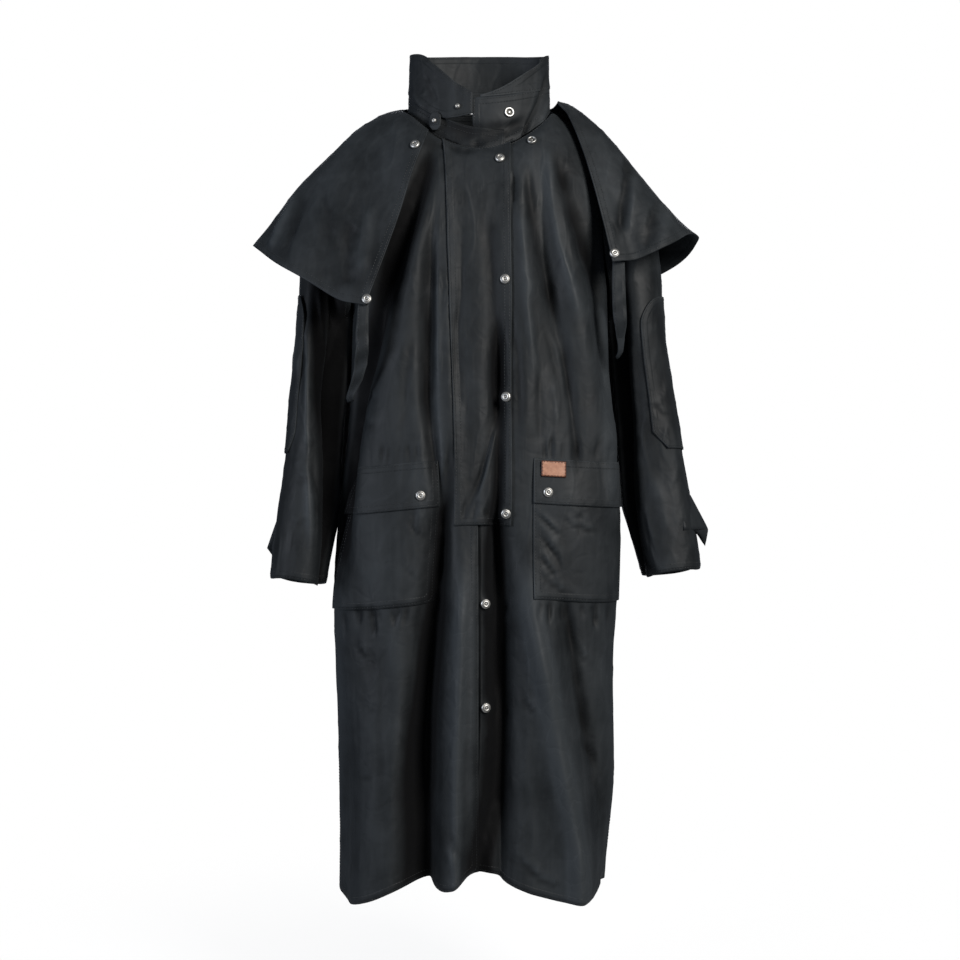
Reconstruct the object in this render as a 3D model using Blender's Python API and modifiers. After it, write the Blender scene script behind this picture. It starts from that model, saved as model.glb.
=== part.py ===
"""Long duster coat with a shoulder cape, in the hollow shape that it hangs in.

Metres, +Z up. The coat faces -Y and the wearer's right is at -X. The origin is the middle of the
neck, level with the points where the shoulder seams meet the collar.
"""

import math
from collections import namedtuple
from functools import lru_cache

import bmesh
import bpy
from mathutils import Matrix, Vector
from mathutils.bvhtree import BVHTree

# Cloth and seams
CLOTH = 0.0018  # thickness of one wall of waxed cotton, hem and turning included
STRAP_CLOTH = 0.0016
SEAM = 0.0003  # gap between pieces at a seam
LAYER = 0.0026  # from the middle of one layer to the middle of the layer that lies on it

# Heights
NECK_FRONT = -0.080
UNDERARM = -0.320
HEM = -1.185

# Neck and shoulders
NECK_WIDTH = 0.112  # half the width of the neck seam
NECK_DEPTH = 0.066  # half its depth
NECK_BACK = 0.006  # how far the middle of the neck lies behind the origin
NECK_ARC = 0.104  # distance round from the middle line that the neckline takes up
RIGHT_TIP = Vector((-0.212, 0.006, -0.076))  # where shoulder seam and sleeve meet
LEFT_TIP = Vector((0.206, 0.006, -0.090))
ARMHOLE_STEP = 0.056  # from the side line forward or back to the edge of the armhole

# Closure
RIGHT_EDGE = -0.003  # free edge of the wearer's right front, from the middle
FLAP_BOTTOM = -0.643

# Pockets
POCKET_TOP = -0.546
FLAP_LINE = -0.612  # lower edge of the pocket flaps
POCKET_BOTTOM = -0.752

SNAP_RADIUS = 0.0075
SNAP_HEIGHT = 0.0034

# Sections of the body. right and left are half-widths at -X and +X, square is the exponent of
# the rounded outline.
BodyRow = namedtuple("BodyRow", "z right left front back square")
BODY_ROWS = (
    BodyRow(-0.080, 0.190, 0.190, 0.090, 0.088, 2.6),
    BodyRow(-0.200, 0.192, 0.192, 0.109, 0.105, 2.9),
    BodyRow(-0.320, 0.195, 0.196, 0.118, 0.112, 3.2),
    BodyRow(-0.450, 0.201, 0.202, 0.124, 0.116, 3.3),
    BodyRow(-0.620, 0.217, 0.211, 0.130, 0.120, 3.1),
    BodyRow(-0.730, 0.224, 0.2125, 0.133, 0.123, 2.9),
    BodyRow(-0.810, 0.222, 0.206, 0.134, 0.125, 2.8),
    BodyRow(-0.930, 0.219, 0.203, 0.134, 0.126, 2.7),
    BodyRow(-1.070, 0.215, 0.204, 0.132, 0.127, 2.6),
    BodyRow(-1.185, 0.217, 0.192, 0.131, 0.128, 2.6),
)

# Lines on the fronts that grid columns follow, as signed distances round from the middle
LineRow = namedtuple("LineRow", "z sewn free")
LINE_ROWS = (
    LineRow(-1.185, -0.036, 0.047),
    LineRow(-0.643, -0.036, 0.047),
    LineRow(-0.300, -0.046, 0.048),
    LineRow(-0.080, -0.052, 0.043),
)
RIGHT_POCKET_EDGE = -0.066
LEFT_POCKET_EDGE = 0.078

# The hem as it falls at the front: how far it is above or below its level
HemRow = namedtuple("HemRow", "arc rise")
HEM_ROWS = (
    HemRow(-0.270, -0.018),
    HemRow(-0.210, -0.026),
    HemRow(-0.160, -0.013),
    HemRow(-0.110, 0.012),
    HemRow(-0.080, 0.018),
    HemRow(-0.048, 0.007),
    HemRow(-0.015, 0.028),
    HemRow(0.010, 0.028),
    HemRow(0.040, 0.016),
    HemRow(0.085, -0.002),
    HemRow(0.150, -0.014),
    HemRow(0.200, -0.006),
    HemRow(0.270, 0.004),
)

# The largest folds. path holds (z, distance round from the middle line, height), where a
# negative height is a valley, and pinch draws the cloth together at a valley.
Fold = namedtuple("Fold", "face width pinch path")
FOLDS = (
    # Wearer's right skirt: one deep valley, and the roll beside the free edge
    Fold("front", 0.024, 0.45, ((-0.52, -0.055, 0.0), (-0.70, -0.071, -0.018), (-0.90, -0.086, -0.030), (-1.185, -0.080, -0.034))),
    Fold("front", 0.018, 0.30, ((-0.60, -0.028, 0.0), (-0.76, -0.029, 0.009), (-1.00, -0.036, 0.014), (-1.185, -0.044, 0.020))),
    Fold("front", 0.050, 0.10, ((-0.80, -0.150, 0.0), (-1.00, -0.152, 0.008), (-1.185, -0.160, 0.016))),
    # Wearer's left skirt: valley beside the placket, bright roll, and a slanting valley
    Fold("front", 0.019, 0.40, ((-0.60, 0.036, 0.0), (-0.72, 0.038, -0.020), (-0.90, 0.036, -0.028), (-1.185, 0.032, -0.028))),
    Fold("front", 0.030, 0.20, ((-0.70, 0.072, 0.0), (-0.80, 0.088, 0.012), (-0.95, 0.114, 0.016), (-1.185, 0.145, 0.020))),
    Fold("front", 0.015, 0.45, ((-0.72, 0.108, 0.0), (-0.82, 0.128, -0.010), (-0.95, 0.162, -0.014), (-1.10, 0.205, -0.010), (-1.16, 0.225, 0.0))),
    # Wearer's right chest: a roll from the neck to the pocket, and the valley beside the flap
    Fold("front", 0.024, 0.20, ((-0.10, -0.064, 0.0), (-0.20, -0.088, 0.010), (-0.34, -0.116, 0.012), (-0.48, -0.150, 0.007), (-0.56, -0.160, 0.0))),
    Fold("front", 0.011, 0.45, ((-0.14, -0.072, 0.0), (-0.26, -0.074, -0.009), (-0.44, -0.070, -0.011), (-0.58, -0.060, -0.009), (-0.70, -0.058, 0.0))),
    # Storm flap: two shallow valleys and a deep slanting one near the waist
    Fold("front", 0.013, 0.20, ((-0.18, -0.030, 0.0), (-0.30, -0.028, -0.005), (-0.48, -0.022, -0.005), (-0.60, -0.020, 0.0))),
    Fold("front", 0.014, 0.25, ((-0.30, 0.026, 0.0), (-0.44, 0.022, -0.007), (-0.54, 0.008, -0.009), (-0.62, -0.012, -0.005), (-0.66, -0.020, 0.0))),
    # Wearer's left chest: roll, valley, roll and the valley under the cape edge
    Fold("front", 0.016, 0.20, ((-0.12, 0.058, 0.0), (-0.26, 0.066, 0.008), (-0.46, 0.068, 0.009), (-0.60, 0.062, 0.0))),
    Fold("front", 0.012, 0.45, ((-0.11, 0.088, 0.0), (-0.22, 0.096, -0.011), (-0.34, 0.112, -0.013), (-0.46, 0.136, -0.010), (-0.56, 0.152, 0.0))),
    Fold("front", 0.018, 0.20, ((-0.11, 0.112, 0.0), (-0.24, 0.130, 0.010), (-0.38, 0.160, 0.011), (-0.52, 0.186, 0.006), (-0.60, 0.196, 0.0))),
    # Hollows under the arms, where the fronts turn back towards the sleeves
    Fold("front", 0.042, 0.00, ((-0.16, -0.165, 0.0), (-0.26, -0.172, -0.024), (-0.36, -0.186, -0.030), (-0.46, -0.208, -0.018), (-0.55, -0.225, 0.0))),
    Fold("front", 0.028, 0.00, ((-0.18, 0.190, 0.0), (-0.28, 0.200, -0.014), (-0.40, 0.210, -0.016), (-0.52, 0.224, 0.0))),
    # Sides of the skirt
    Fold("front", 0.016, 0.40, ((-0.78, -0.236, 0.0), (-0.95, -0.232, -0.008), (-1.185, -0.228, -0.013))),
    Fold("front", 0.020, 0.30, ((-0.80, 0.240, 0.0), (-1.00, 0.236, 0.004), (-1.185, 0.232, -0.005))),
    # Back: seven soft folds that fan out from the shoulders
    Fold("back", 0.030, 0.35, ((-0.24, -0.020, 0.0), (-0.50, -0.018, -0.010), (-0.85, -0.014, -0.024), (-1.185, -0.010, -0.032))),
    Fold("back", 0.030, 0.20, ((-0.22, 0.045, 0.0), (-0.55, 0.052, 0.009), (-0.90, 0.058, 0.016), (-1.185, 0.062, 0.020))),
    Fold("back", 0.022, 0.45, ((-0.24, 0.092, 0.0), (-0.50, 0.106, -0.010), (-0.85, 0.124, -0.022), (-1.185, 0.136, -0.028))),
    Fold("back", 0.028, 0.20, ((-0.26, 0.140, 0.0), (-0.60, 0.172, 0.008), (-1.185, 0.200, 0.014))),
    Fold("back", 0.028, 0.20, ((-0.22, -0.065, 0.0), (-0.50, -0.078, 0.009), (-0.90, -0.088, 0.015), (-1.185, -0.090, 0.020))),
    Fold("back", 0.020, 0.45, ((-0.26, -0.112, 0.0), (-0.55, -0.130, -0.012), (-0.85, -0.146, -0.022), (-1.185, -0.156, -0.027))),
    Fold("back", 0.030, 0.20, ((-0.40, -0.190, 0.0), (-0.75, -0.206, 0.007), (-1.185, -0.216, 0.012))),
)

# Sleeve sections below the armhole. inner and outer are distances from the middle plane.
SleeveRow = namedtuple("SleeveRow", "z inner outer front back")
RIGHT_SLEEVE = (
    SleeveRow(-0.350, 0.2010, 0.2800, -0.060, 0.066),
    SleeveRow(-0.450, 0.2070, 0.2905, -0.064, 0.062),
    SleeveRow(-0.550, 0.2145, 0.2990, -0.070, 0.058),
    SleeveRow(-0.640, 0.2220, 0.3105, -0.080, 0.046),
    SleeveRow(-0.727, 0.2370, 0.3205, -0.088, 0.034),
)
LEFT_SLEEVE = (
    SleeveRow(-0.350, 0.2020, 0.2835, -0.060, 0.066),
    SleeveRow(-0.450, 0.2080, 0.3005, -0.064, 0.062),
    SleeveRow(-0.550, 0.2135, 0.3150, -0.070, 0.056),
    SleeveRow(-0.640, 0.2255, 0.3280, -0.078, 0.046),
    SleeveRow(-0.714, 0.2475, 0.3370, -0.084, 0.036),
)
SLEEVE_SQUARE = 2.5
CUFF_TILT = 0.012  # the cuff is higher at its front than at its back

# Ribs of the cape, from the front edge round to the middle of the back. turn is the angle on the
# neck ring from the front, rise lifts it off the neck seam, spread and drop are exponents of how
# it moves out and down, flare turns it up towards the hem, and x, y, z is its hem end.
CapeRib = namedtuple("CapeRib", "turn rise spread drop flare x y z")
RIGHT_CAPE = (
    CapeRib(40.0, 0.007, 1.12, 1.00, 0.0, 0.167, -0.140, -0.322),
    CapeRib(55.0, 0.007, 1.05, 1.10, 0.0, 0.206, -0.136, -0.314),
    CapeRib(70.0, 0.007, 1.00, 1.25, 0.0, 0.262, -0.110, -0.278),
    CapeRib(82.0, 0.007, 0.96, 1.36, 0.0, 0.316, -0.068, -0.244),
    CapeRib(94.0, 0.007, 0.94, 1.40, 0.0, 0.353, 0.002, -0.213),
    CapeRib(112.0, 0.007, 0.94, 1.40, 0.0, 0.322, 0.086, -0.226),
    CapeRib(132.0, 0.007, 0.96, 1.36, 0.0, 0.246, 0.138, -0.268),
    CapeRib(156.0, 0.007, 1.00, 1.30, 0.0, 0.124, 0.158, -0.330),
    CapeRib(180.0, 0.007, 1.00, 1.30, 0.0, 0.000, 0.162, -0.345),
)
LEFT_CAPE = (
    CapeRib(80.0, 0.018, 0.66, 1.00, 0.0, 0.195, -0.118, -0.256),
    CapeRib(85.0, 0.018, 0.80, 1.12, 0.2, 0.238, -0.116, -0.248),
    CapeRib(90.0, 0.016, 0.90, 1.30, 0.4, 0.282, -0.092, -0.226),
    CapeRib(96.0, 0.014, 0.98, 1.48, 0.5, 0.322, -0.052, -0.203),
    CapeRib(104.0, 0.010, 1.00, 1.50, 0.5, 0.340, 0.008, -0.203),
    CapeRib(118.0, 0.007, 1.00, 1.45, 0.3, 0.312, 0.092, -0.232),
    CapeRib(136.0, 0.007, 1.00, 1.40, 0.0, 0.246, 0.138, -0.268),
    CapeRib(158.0, 0.007, 1.00, 1.35, 0.0, 0.122, 0.158, -0.330),
    CapeRib(180.0, 0.007, 1.00, 1.30, 0.0, 0.000, 0.162, -0.345),
)
CAPE_NECK_WIDTH = 0.121
CAPE_NECK_DEPTH = 0.078

# Collar sections by angle from the front, anticlockwise seen from above, so +90 is at +X. The
# stand winds from the wearer's left, where its end shows as a throat tab, once round the neck to
# the band that crosses over it. lift opens a gap between the collar and the stand.
CollarRow = namedtuple("CollarRow", "turn top lift")
STAND_ROWS = (
    CollarRow(-366.0, 0.001, 0.0),
    CollarRow(-340.0, 0.006, 0.0),
    CollarRow(-315.0, 0.016, 0.0),
    CollarRow(-270.0, 0.034, 0.0),
    CollarRow(-180.0, 0.040, 0.0),
    CollarRow(-90.0, 0.026, 0.0),
    CollarRow(-60.0, 0.000, 0.0),
    CollarRow(-30.0, -0.028, 0.0),
    CollarRow(0.0, -0.044, 0.0),
    CollarRow(20.0, -0.046, 0.0),
)
COLLAR_ROWS = (
    CollarRow(-360.0, 0.005, 0.0),
    CollarRow(-351.0, 0.010, 0.0),
    CollarRow(-332.0, 0.029, 0.0),
    CollarRow(-315.0, 0.051, 0.0),
    CollarRow(-288.0, 0.077, 0.0),
    CollarRow(-270.0, 0.082, 0.0),
    CollarRow(-180.0, 0.098, 0.0),
    CollarRow(-90.0, 0.082, 0.0),
    CollarRow(-54.0, 0.074, 0.0),
    CollarRow(-32.0, 0.045, 0.0),
    CollarRow(-20.0, 0.026, 0.008),
    CollarRow(-9.0, 0.008, 0.020),
)
RING_STEP = 9.0  # degrees between the collar's grid columns

OILSKIN = ("black waxed cotton", (0.012, 0.014, 0.017), 0.55, 0.0)
METAL = ("aged nickel", (0.42, 0.41, 0.39), 0.32, 1.0)
HIDE = ("brown leather", (0.24, 0.11, 0.065), 0.6, 0.0)


def smooth(t):
    """0 to 1 with a soft start and end."""
    t = min(1.0, max(0.0, t))
    return t * t * (3 - 2 * t)


def mix(a, b, t):
    return a + (b - a) * t


def through(knots, x):
    """A smooth curve through (x, value) knots in order of x, flat-ended, without overshoot."""
    if x <= knots[0][0]:
        return knots[0][1]
    if x >= knots[-1][0]:
        return knots[-1][1]
    last = len(knots) - 1
    i = next(k for k in range(last) if x <= knots[k + 1][0])

    def slope(k):
        if k in (0, last):
            return 0.0
        before = (knots[k][1] - knots[k - 1][1]) / (knots[k][0] - knots[k - 1][0])
        after = (knots[k + 1][1] - knots[k][1]) / (knots[k + 1][0] - knots[k][0])
        return 0.0 if before * after <= 0 else 2 * before * after / (before + after)

    (x0, y0), (x1, y1) = knots[i], knots[i + 1]
    span = x1 - x0
    t = (x - x0) / span
    rise, fall = slope(i) * span, slope(i + 1) * span
    return (
        y0 * (2 * t**3 - 3 * t**2 + 1) + y1 * (3 * t**2 - 2 * t**3)
        + rise * (t**3 - 2 * t**2 + t) + fall * (t**3 - t**2)
    )


def column(rows, key, value, at):
    """The smooth value of one column of a table at a place along another column."""
    knots = sorted((getattr(row, key), getattr(row, value)) for row in rows)
    return through(knots, at)


@lru_cache(maxsize=4096)
def quarter(face, side, z):
    """One quarter of the body's outline at a height: (length, x, y) from the middle to the side."""
    width = column(BODY_ROWS, "z", "right" if side < 0 else "left", z)
    depth = column(BODY_ROWS, "z", face, z)
    power = 2.0 / column(BODY_ROWS, "z", "square", z)
    forward = -1.0 if face == "front" else 1.0
    steps = 64
    found, length = [(0.0, 0.0, forward * depth)], 0.0
    for step in range(1, steps + 1):
        # Even steps of the angle's power keep the points evenly apart
        turn = math.pi / 2 * step / steps
        x = side * width * math.sin(turn) ** power
        y = forward * depth * max(0.0, math.cos(turn)) ** power
        length += math.hypot(x - found[-1][1], y - found[-1][2])
        found.append((length, x, y))
    return tuple(found)


def reach(face, side, z):
    """Distance round from the middle line to the side seam, or to the armhole above the underarm."""
    whole = quarter(face, side, z)[-1][0]
    share = (z - UNDERARM) / (NECK_FRONT - UNDERARM)
    if share <= 0:
        return whole
    return whole - ARMHOLE_STEP * math.sqrt(max(0.0, 1 - (1 - min(1.0, share / 0.45)) ** 2))


def on_outline(face, arc, z):
    """Point and outward direction on the plain outline, at a signed distance from the middle."""
    side = -1 if arc < 0 else 1
    found = quarter(face, side, z)
    along = abs(arc)
    i = next((k for k in range(len(found) - 1) if found[k + 1][0] >= along), len(found) - 2)
    (l0, x0, y0), (l1, x1, y1) = found[i], found[i + 1]
    t = (along - l0) / (l1 - l0)
    way = Vector((x1 - x0, y1 - y0)).normalized()
    out = Vector((way.y, -way.x)) * (side if face == "front" else -side)
    return Vector((mix(x0, x1, t), mix(y0, y1, t))), out


def folded(face, arc, z):
    """(shift along the outline, height off it) that the folds give at a place."""
    shift = height = 0.0
    for fold in FOLDS:
        if fold.face != face or not fold.path[-1][0] - 1e-6 <= z <= fold.path[0][0]:
            continue
        centre = through([(p[0], p[1]) for p in reversed(fold.path)], z)
        rise = through([(p[0], p[2]) for p in reversed(fold.path)], z)
        away = (arc - centre) / fold.width
        bump = rise * math.exp(-away * away)
        height += bump
        shift += fold.pinch * bump * away
    return shift, height


def top_edge(face, arc, limit):
    """The neckline and the shoulder seam, at a distance round from the middle line."""
    side, along = (-1 if arc < 0 else 1), abs(arc)
    forward = -1.0 if face == "front" else 1.0
    if along <= NECK_ARC:
        t = along / NECK_ARC
        turn = 90.0 * (0.62 * t + 0.38 * t**3) * side
        return neck_point(turn if face == "front" else 180.0 - turn)
    t = min(1.0, (along - NECK_ARC) / (limit - NECK_ARC))
    place = neck_point(90.0 * side).lerp(RIGHT_TIP if side < 0 else LEFT_TIP, t)
    place.z += 0.006 * math.sin(math.pi * t)
    place.y += forward * (SEAM + 0.3 * CLOTH)
    return place


def neck_height(turn):
    """Height of the neck seam at an angle from the front, in degrees."""
    toward_front = (1 + math.cos(math.radians(turn))) / 2
    return 0.006 + (NECK_FRONT - 0.006) * toward_front**2.9


def neck_point(turn):
    angle = math.radians(turn)
    return Vector((
        NECK_WIDTH * math.sin(angle),
        NECK_BACK - NECK_DEPTH * math.cos(angle),
        neck_height(turn),
    ))


def sag(face, arc, z):
    """How far the weave line drops towards the side, most at the pockets, and at the hem."""
    knots = ((HEM, 0.0), (-0.95, 0.010), (-0.70, 0.020), (-0.50, 0.010), (-0.33, 0.0))
    drop = through(knots, z) * smooth(abs(arc) / 0.22)
    if face == "back":
        return drop + 0.012 * smooth((-0.93 - z) / 0.25) * smooth(abs(arc) / 0.25)
    if arc > 0:
        drop = 0.6 * drop - 0.25 * through(knots, z) * smooth((arc - 0.05) / 0.03)
    return drop - column(HEM_ROWS, "arc", "rise", arc) * smooth((-0.93 - z) / 0.25)


def panel(face, arc, z):
    """Middle of the body's cloth at a distance round and a height down the middle line."""
    side = -1 if arc < 0 else 1
    limit = reach(face, side, z)
    shift, height = folded(face, arc, z)
    height *= smooth((limit - abs(arc)) / 0.025)
    place, out = on_outline(face, max(-limit * 1.02, min(limit * 1.02, arc + shift)), z)
    flat = place + out * height
    low = z - sag(face, arc, z)
    if z <= UNDERARM:
        return Vector((flat.x, flat.y, low))
    share = (z - UNDERARM) / (NECK_FRONT - UNDERARM)
    rest = 1 - share
    top = top_edge(face, arc, limit)
    across = math.sin(math.pi / 2 * min(1.0, rest / 0.55))
    down = smooth(min(1.0, rest / 0.62)) * 0.75 + 0.25 * min(1.0, rest / 0.62)
    return Vector((
        mix(top.x, flat.x, across), mix(top.y, flat.y, across), mix(top.z, low, down),
    ))


def off_panel(face, arc, z, out):
    """A point that lies off the body's cloth by a distance, for what is sewn or snapped on it."""
    place = panel(face, arc, z)
    if not out:
        return place
    step = 0.002
    low, high = max(HEM, z - step), min(NECK_FRONT, z + step)
    a = panel(face, arc + step, z) - panel(face, arc - step, z)
    b = panel(face, arc, high) - panel(face, arc, low)
    normal = a.cross(b).normalized()
    inside = Vector((0, 0, min(z, -0.2)))
    if normal.dot(place - inside) < 0:
        normal.negate()
    return place + normal * out


def sleeve_ring(table, side, z, turn):
    """Point of a sleeve at a height; turn 0 is its outer side, 90 its front, 180 its inner side."""
    row = [column(table, "z", name, z) for name in ("inner", "outer", "front", "back")]
    centre_x, half_x = (row[0] + row[1]) / 2, (row[1] - row[0]) / 2
    centre_y, half_y = (row[2] + row[3]) / 2, (row[3] - row[2]) / 2
    c, s = math.cos(math.radians(turn)), math.sin(math.radians(turn))
    power = 2 / SLEEVE_SQUARE
    x = centre_x + half_x * math.copysign(abs(c) ** power, c)
    y = centre_y - half_y * math.copysign(abs(s) ** power, s)
    cuff = smooth((-0.45 - z) / 0.27)
    return Vector((side * x, y, z + cuff * (CUFF_TILT * s + 0.006 * c)))


def armhole(side, turn):
    """The armhole's edge; turn 0 is the shoulder tip, 90 its front, 180 the underarm."""
    face = "front" if turn <= 180 else "back"
    down = (1 - math.cos(math.radians(turn))) / 2
    z = mix(NECK_FRONT, UNDERARM, down)
    edge = panel(face, side * reach(face, side, z), z)
    out = mix(0.0016, 0.0060, smooth((down - 0.5) / 0.4))
    return edge + Vector((side * out, 0, 0.0012 * smooth((down - 0.8) / 0.2)))


def sleeve(side, turn, along):
    """Middle of a sleeve's cloth; along runs 0 to 1 round the shoulder, then 1 to 2 to the cuff."""
    table = RIGHT_SLEEVE if side < 0 else LEFT_SLEEVE
    turn = turn % 360
    if along >= 1:
        z = mix(table[0].z, table[-1].z, along - 1)
        place = sleeve_ring(table, side, z, turn)
        centre = Vector((side * (table[1].inner + table[1].outer) / 2, 0, z))
        away = (place - centre).normalized()
        return place + away * sleeve_crease(side, turn, z)
    start, end = armhole(side, turn), sleeve_ring(table, side, table[0].z, turn)
    span = (end - start).length
    leave = Vector((side, 0, -0.35)) * span * 0.9 * (1 + math.cos(math.radians(turn))) / 2
    leave += Vector((side * 0.1, 0, -1.0)) * span * (1 - math.cos(math.radians(turn))) / 2
    arrive = Vector((side * 0.06, 0, -1.0)) * span * 1.15
    t = along
    return (
        start * (2 * t**3 - 3 * t**2 + 1) + leave * (t**3 - 2 * t**2 + t)
        + end * (3 * t**2 - 2 * t**3) + arrive * (t**3 - t**2)
    )


# Long soft folds of the sleeves: where round the arm, height and half-width in degrees
SleeveFold = namedtuple("SleeveFold", "side turn rise width top bottom")
SLEEVE_FOLDS = (
    SleeveFold(-1, 52.0, -0.005, 14.0, -0.34, -0.62),
    SleeveFold(-1, 130.0, -0.024, 30.0, -0.351, -0.62),
    SleeveFold(-1, 22.0, 0.004, 16.0, -0.36, -0.70),
    SleeveFold(-1, 292.0, -0.007, 18.0, -0.36, -0.66),
    SleeveFold(1, 118.0, -0.006, 16.0, -0.351, -0.60),
    SleeveFold(1, 150.0, -0.012, 22.0, -0.351, -0.62),
    SleeveFold(1, 62.0, 0.004, 18.0, -0.38, -0.70),
    SleeveFold(1, 288.0, -0.007, 18.0, -0.36, -0.66),
)


def sleeve_crease(side, turn, z):
    total = 0.0
    for fold in SLEEVE_FOLDS:
        if fold.side != side or not fold.bottom < z < fold.top:
            continue
        away = (turn - fold.turn + 180) % 360 - 180
        share = (z - fold.bottom) / (fold.top - fold.bottom)
        total += fold.rise * math.exp(-((away / fold.width) ** 2)) * math.sin(math.pi * share)
    return total


def cape(side, along, down):
    """Middle of the cape's cloth; along runs from its front edge to the middle of the back."""
    table = RIGHT_CAPE if side < 0 else LEFT_CAPE
    row = {
        name: through([(k / (len(table) - 1), getattr(rib, name)) for k, rib in enumerate(table)], along)
        for name in CapeRib._fields
    }
    angle = math.radians(row["turn"])
    neck = Vector((
        CAPE_NECK_WIDTH * math.sin(angle),
        NECK_BACK - CAPE_NECK_DEPTH * math.cos(angle),
        neck_height(row["turn"]) + row["rise"],
    ))
    hem = Vector((row["x"], row["y"], row["z"]))
    side_share = math.sin(math.pi * min(1.0, max(0.0, along)))
    fall = mix(down ** row["drop"], smooth(down), row["flare"])
    place = Vector((
        mix(neck.x, hem.x, down ** row["spread"]),
        mix(neck.y, hem.y, down ** mix(0.62, 0.95, side_share)),
        mix(neck.z, hem.z, fall),
    ))
    place += cape_wave(side, along, down)
    place.x *= side
    return place


# Waves of the cape: where along the hem, how high at the hem, and how wide as a share
CapeWave = namedtuple("CapeWave", "side along rise width")
CAPE_WAVES = (
    CapeWave(-1, 0.16, -0.008, 0.055),
    CapeWave(-1, 0.30, 0.007, 0.060),
    CapeWave(-1, 0.62, 0.010, 0.060),
    CapeWave(-1, 0.76, -0.012, 0.060),
    CapeWave(-1, 0.88, 0.009, 0.060),
    CapeWave(1, 0.13, -0.016, 0.045),
    CapeWave(1, 0.24, 0.008, 0.060),
    CapeWave(1, 0.60, 0.012, 0.055),
    CapeWave(1, 0.74, -0.012, 0.060),
    CapeWave(1, 0.87, 0.009, 0.060),
)


def cape_wave(side, along, down):
    turn = math.radians(mix(10.0, 180.0, along))
    way = Vector((math.sin(turn), -math.cos(turn), 0.25))
    total = 0.0
    for wave in CAPE_WAVES:
        if wave.side == side:
            total += wave.rise * math.exp(-(((along - wave.along) / wave.width) ** 2))
    return way * total * smooth(down) * down


def collar_ring(turn, z, out=0.0):
    """Point of the collar at an angle from the front and a height, wound so its ends lie apart."""
    angle = math.radians(turn)
    wound = mix(0.0016, -0.0016, smooth((18.0 - turn) / 384.0))
    out += wound - 0.02 * max(0.0, z)
    return Vector((
        (NECK_WIDTH - 0.002 + out) * math.sin(angle),
        NECK_BACK - (NECK_DEPTH - 0.002 + out) * math.cos(angle),
        z,
    ))


def ring_turns(start, end):
    """Angles from start to end, on multiples of the collar's step in between."""
    first, last = math.floor(start / RING_STEP) + 1, math.ceil(end / RING_STEP) - 1
    return [start] + [RING_STEP * k for k in range(first, last + 1)] + [end]


def front_arc(u, z):
    """Distance round the front of a grid column: 0 the right front's edge, -1 the flap's seam,
    1 its free edge, -2 and 2 the pockets' front edges, -3 and 3 the side seams."""
    sewn, free = column(LINE_ROWS, "z", "sewn", z), column(LINE_ROWS, "z", "free", z)
    lines = (
        -reach("front", -1, z), RIGHT_POCKET_EDGE, sewn, RIGHT_EDGE, free, LEFT_POCKET_EDGE,
        reach("front", 1, z),
    )
    k = min(5, max(0, math.floor(u + 3)))
    return mix(lines[k], lines[k + 1], u + 3 - k)


def shares(count, start=0.0, end=1.0):
    return [mix(start, end, k / count) for k in range(count + 1)]


def heights(*stops):
    """Heights from (height, steps to the next) pairs, the last with no steps."""
    found = []
    for (z, steps), (below, _) in zip(stops, stops[1:]):
        found += [mix(z, below, k / steps) for k in range(steps)]
    return found + [stops[-1][0]]


# Shared rows of the body's panels, closer together where the armhole turns
UPPER = [mix(NECK_FRONT, UNDERARM, t) for t in (0, 0.06, 0.14, 0.24, 0.36, 0.48, 0.62, 0.78, 0.92)]
BODY_HEIGHTS = UPPER + heights(
    (UNDERARM, 4), (POCKET_TOP, 1), (FLAP_LINE, 1), (FLAP_BOTTOM, 2), (POCKET_BOTTOM, 7), (HEM, 0)
)
# Shared columns of the fronts, in the units of front_arc
SIDE_STEPS = [(k / 11) ** 1.2 for k in range(1, 12)]
RIGHT_COLUMNS = [-2 - t for t in SIDE_STEPS[::-1]] + shares(3, -2.0, -1.0) + shares(4, -1.0, 0.0)[1:]
LEFT_COLUMNS = shares(3, -0.75, 0.0) + shares(6, 0.0, 1.0)[1:] + shares(4, 1.0, 2.0)[1:]
LEFT_COLUMNS += [2 + t for t in SIDE_STEPS]
# Shared grid of a sleeve and its patch
TURN_STEP = 18.0
SLEEVE_ROWS = shares(6) + shares(8, 1.0, 2.0)[1:]


def collection(name):
    found = bpy.data.collections.new(name)
    bpy.context.scene.collection.children.link(found)
    return found


def material(finish):
    name, colour, roughness, metallic = finish
    found = bpy.data.materials.get(name)
    if found:
        return found
    found = bpy.data.materials.new(name)
    found.use_nodes = True
    shader = found.node_tree.nodes["Principled BSDF"]
    shader.inputs["Base Color"].default_value = (*colour, 1.0)
    shader.inputs["Roughness"].default_value = roughness
    shader.inputs["Metallic"].default_value = metallic
    return found


def add(name, mesh, finish):
    mesh.materials.append(material(finish))
    obj = bpy.data.objects.new(name, mesh)
    COAT.objects.link(obj)
    return obj


def cloth(name, columns, rows, place, thickness=CLOTH, closed=False, finish=OILSKIN):
    """A piece of cloth: a grid laid over a surface, given its thickness by Solidify."""
    across, down = len(columns) - 1, len(rows) - 1
    work = bmesh.new()
    bmesh.ops.create_grid(work, x_segments=across, y_segments=down, size=0.5)
    for vertex in work.verts:
        i = round((vertex.co.x + 0.5) * across)
        j = round((0.5 - vertex.co.y) * down)
        vertex.co = place(columns[i], rows[j])
    if closed:
        bmesh.ops.remove_doubles(work, verts=work.verts, dist=1e-6)
    bmesh.ops.triangulate(work, faces=work.faces, quad_method="FIXED")
    mesh = bpy.data.meshes.new(name)
    work.to_mesh(mesh)
    work.free()
    mesh.shade_smooth()
    obj = add(name, mesh, finish)
    wall = obj.modifiers.new("Wall", "SOLIDIFY")
    wall.thickness = thickness
    wall.offset = 0.0
    return obj


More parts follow.
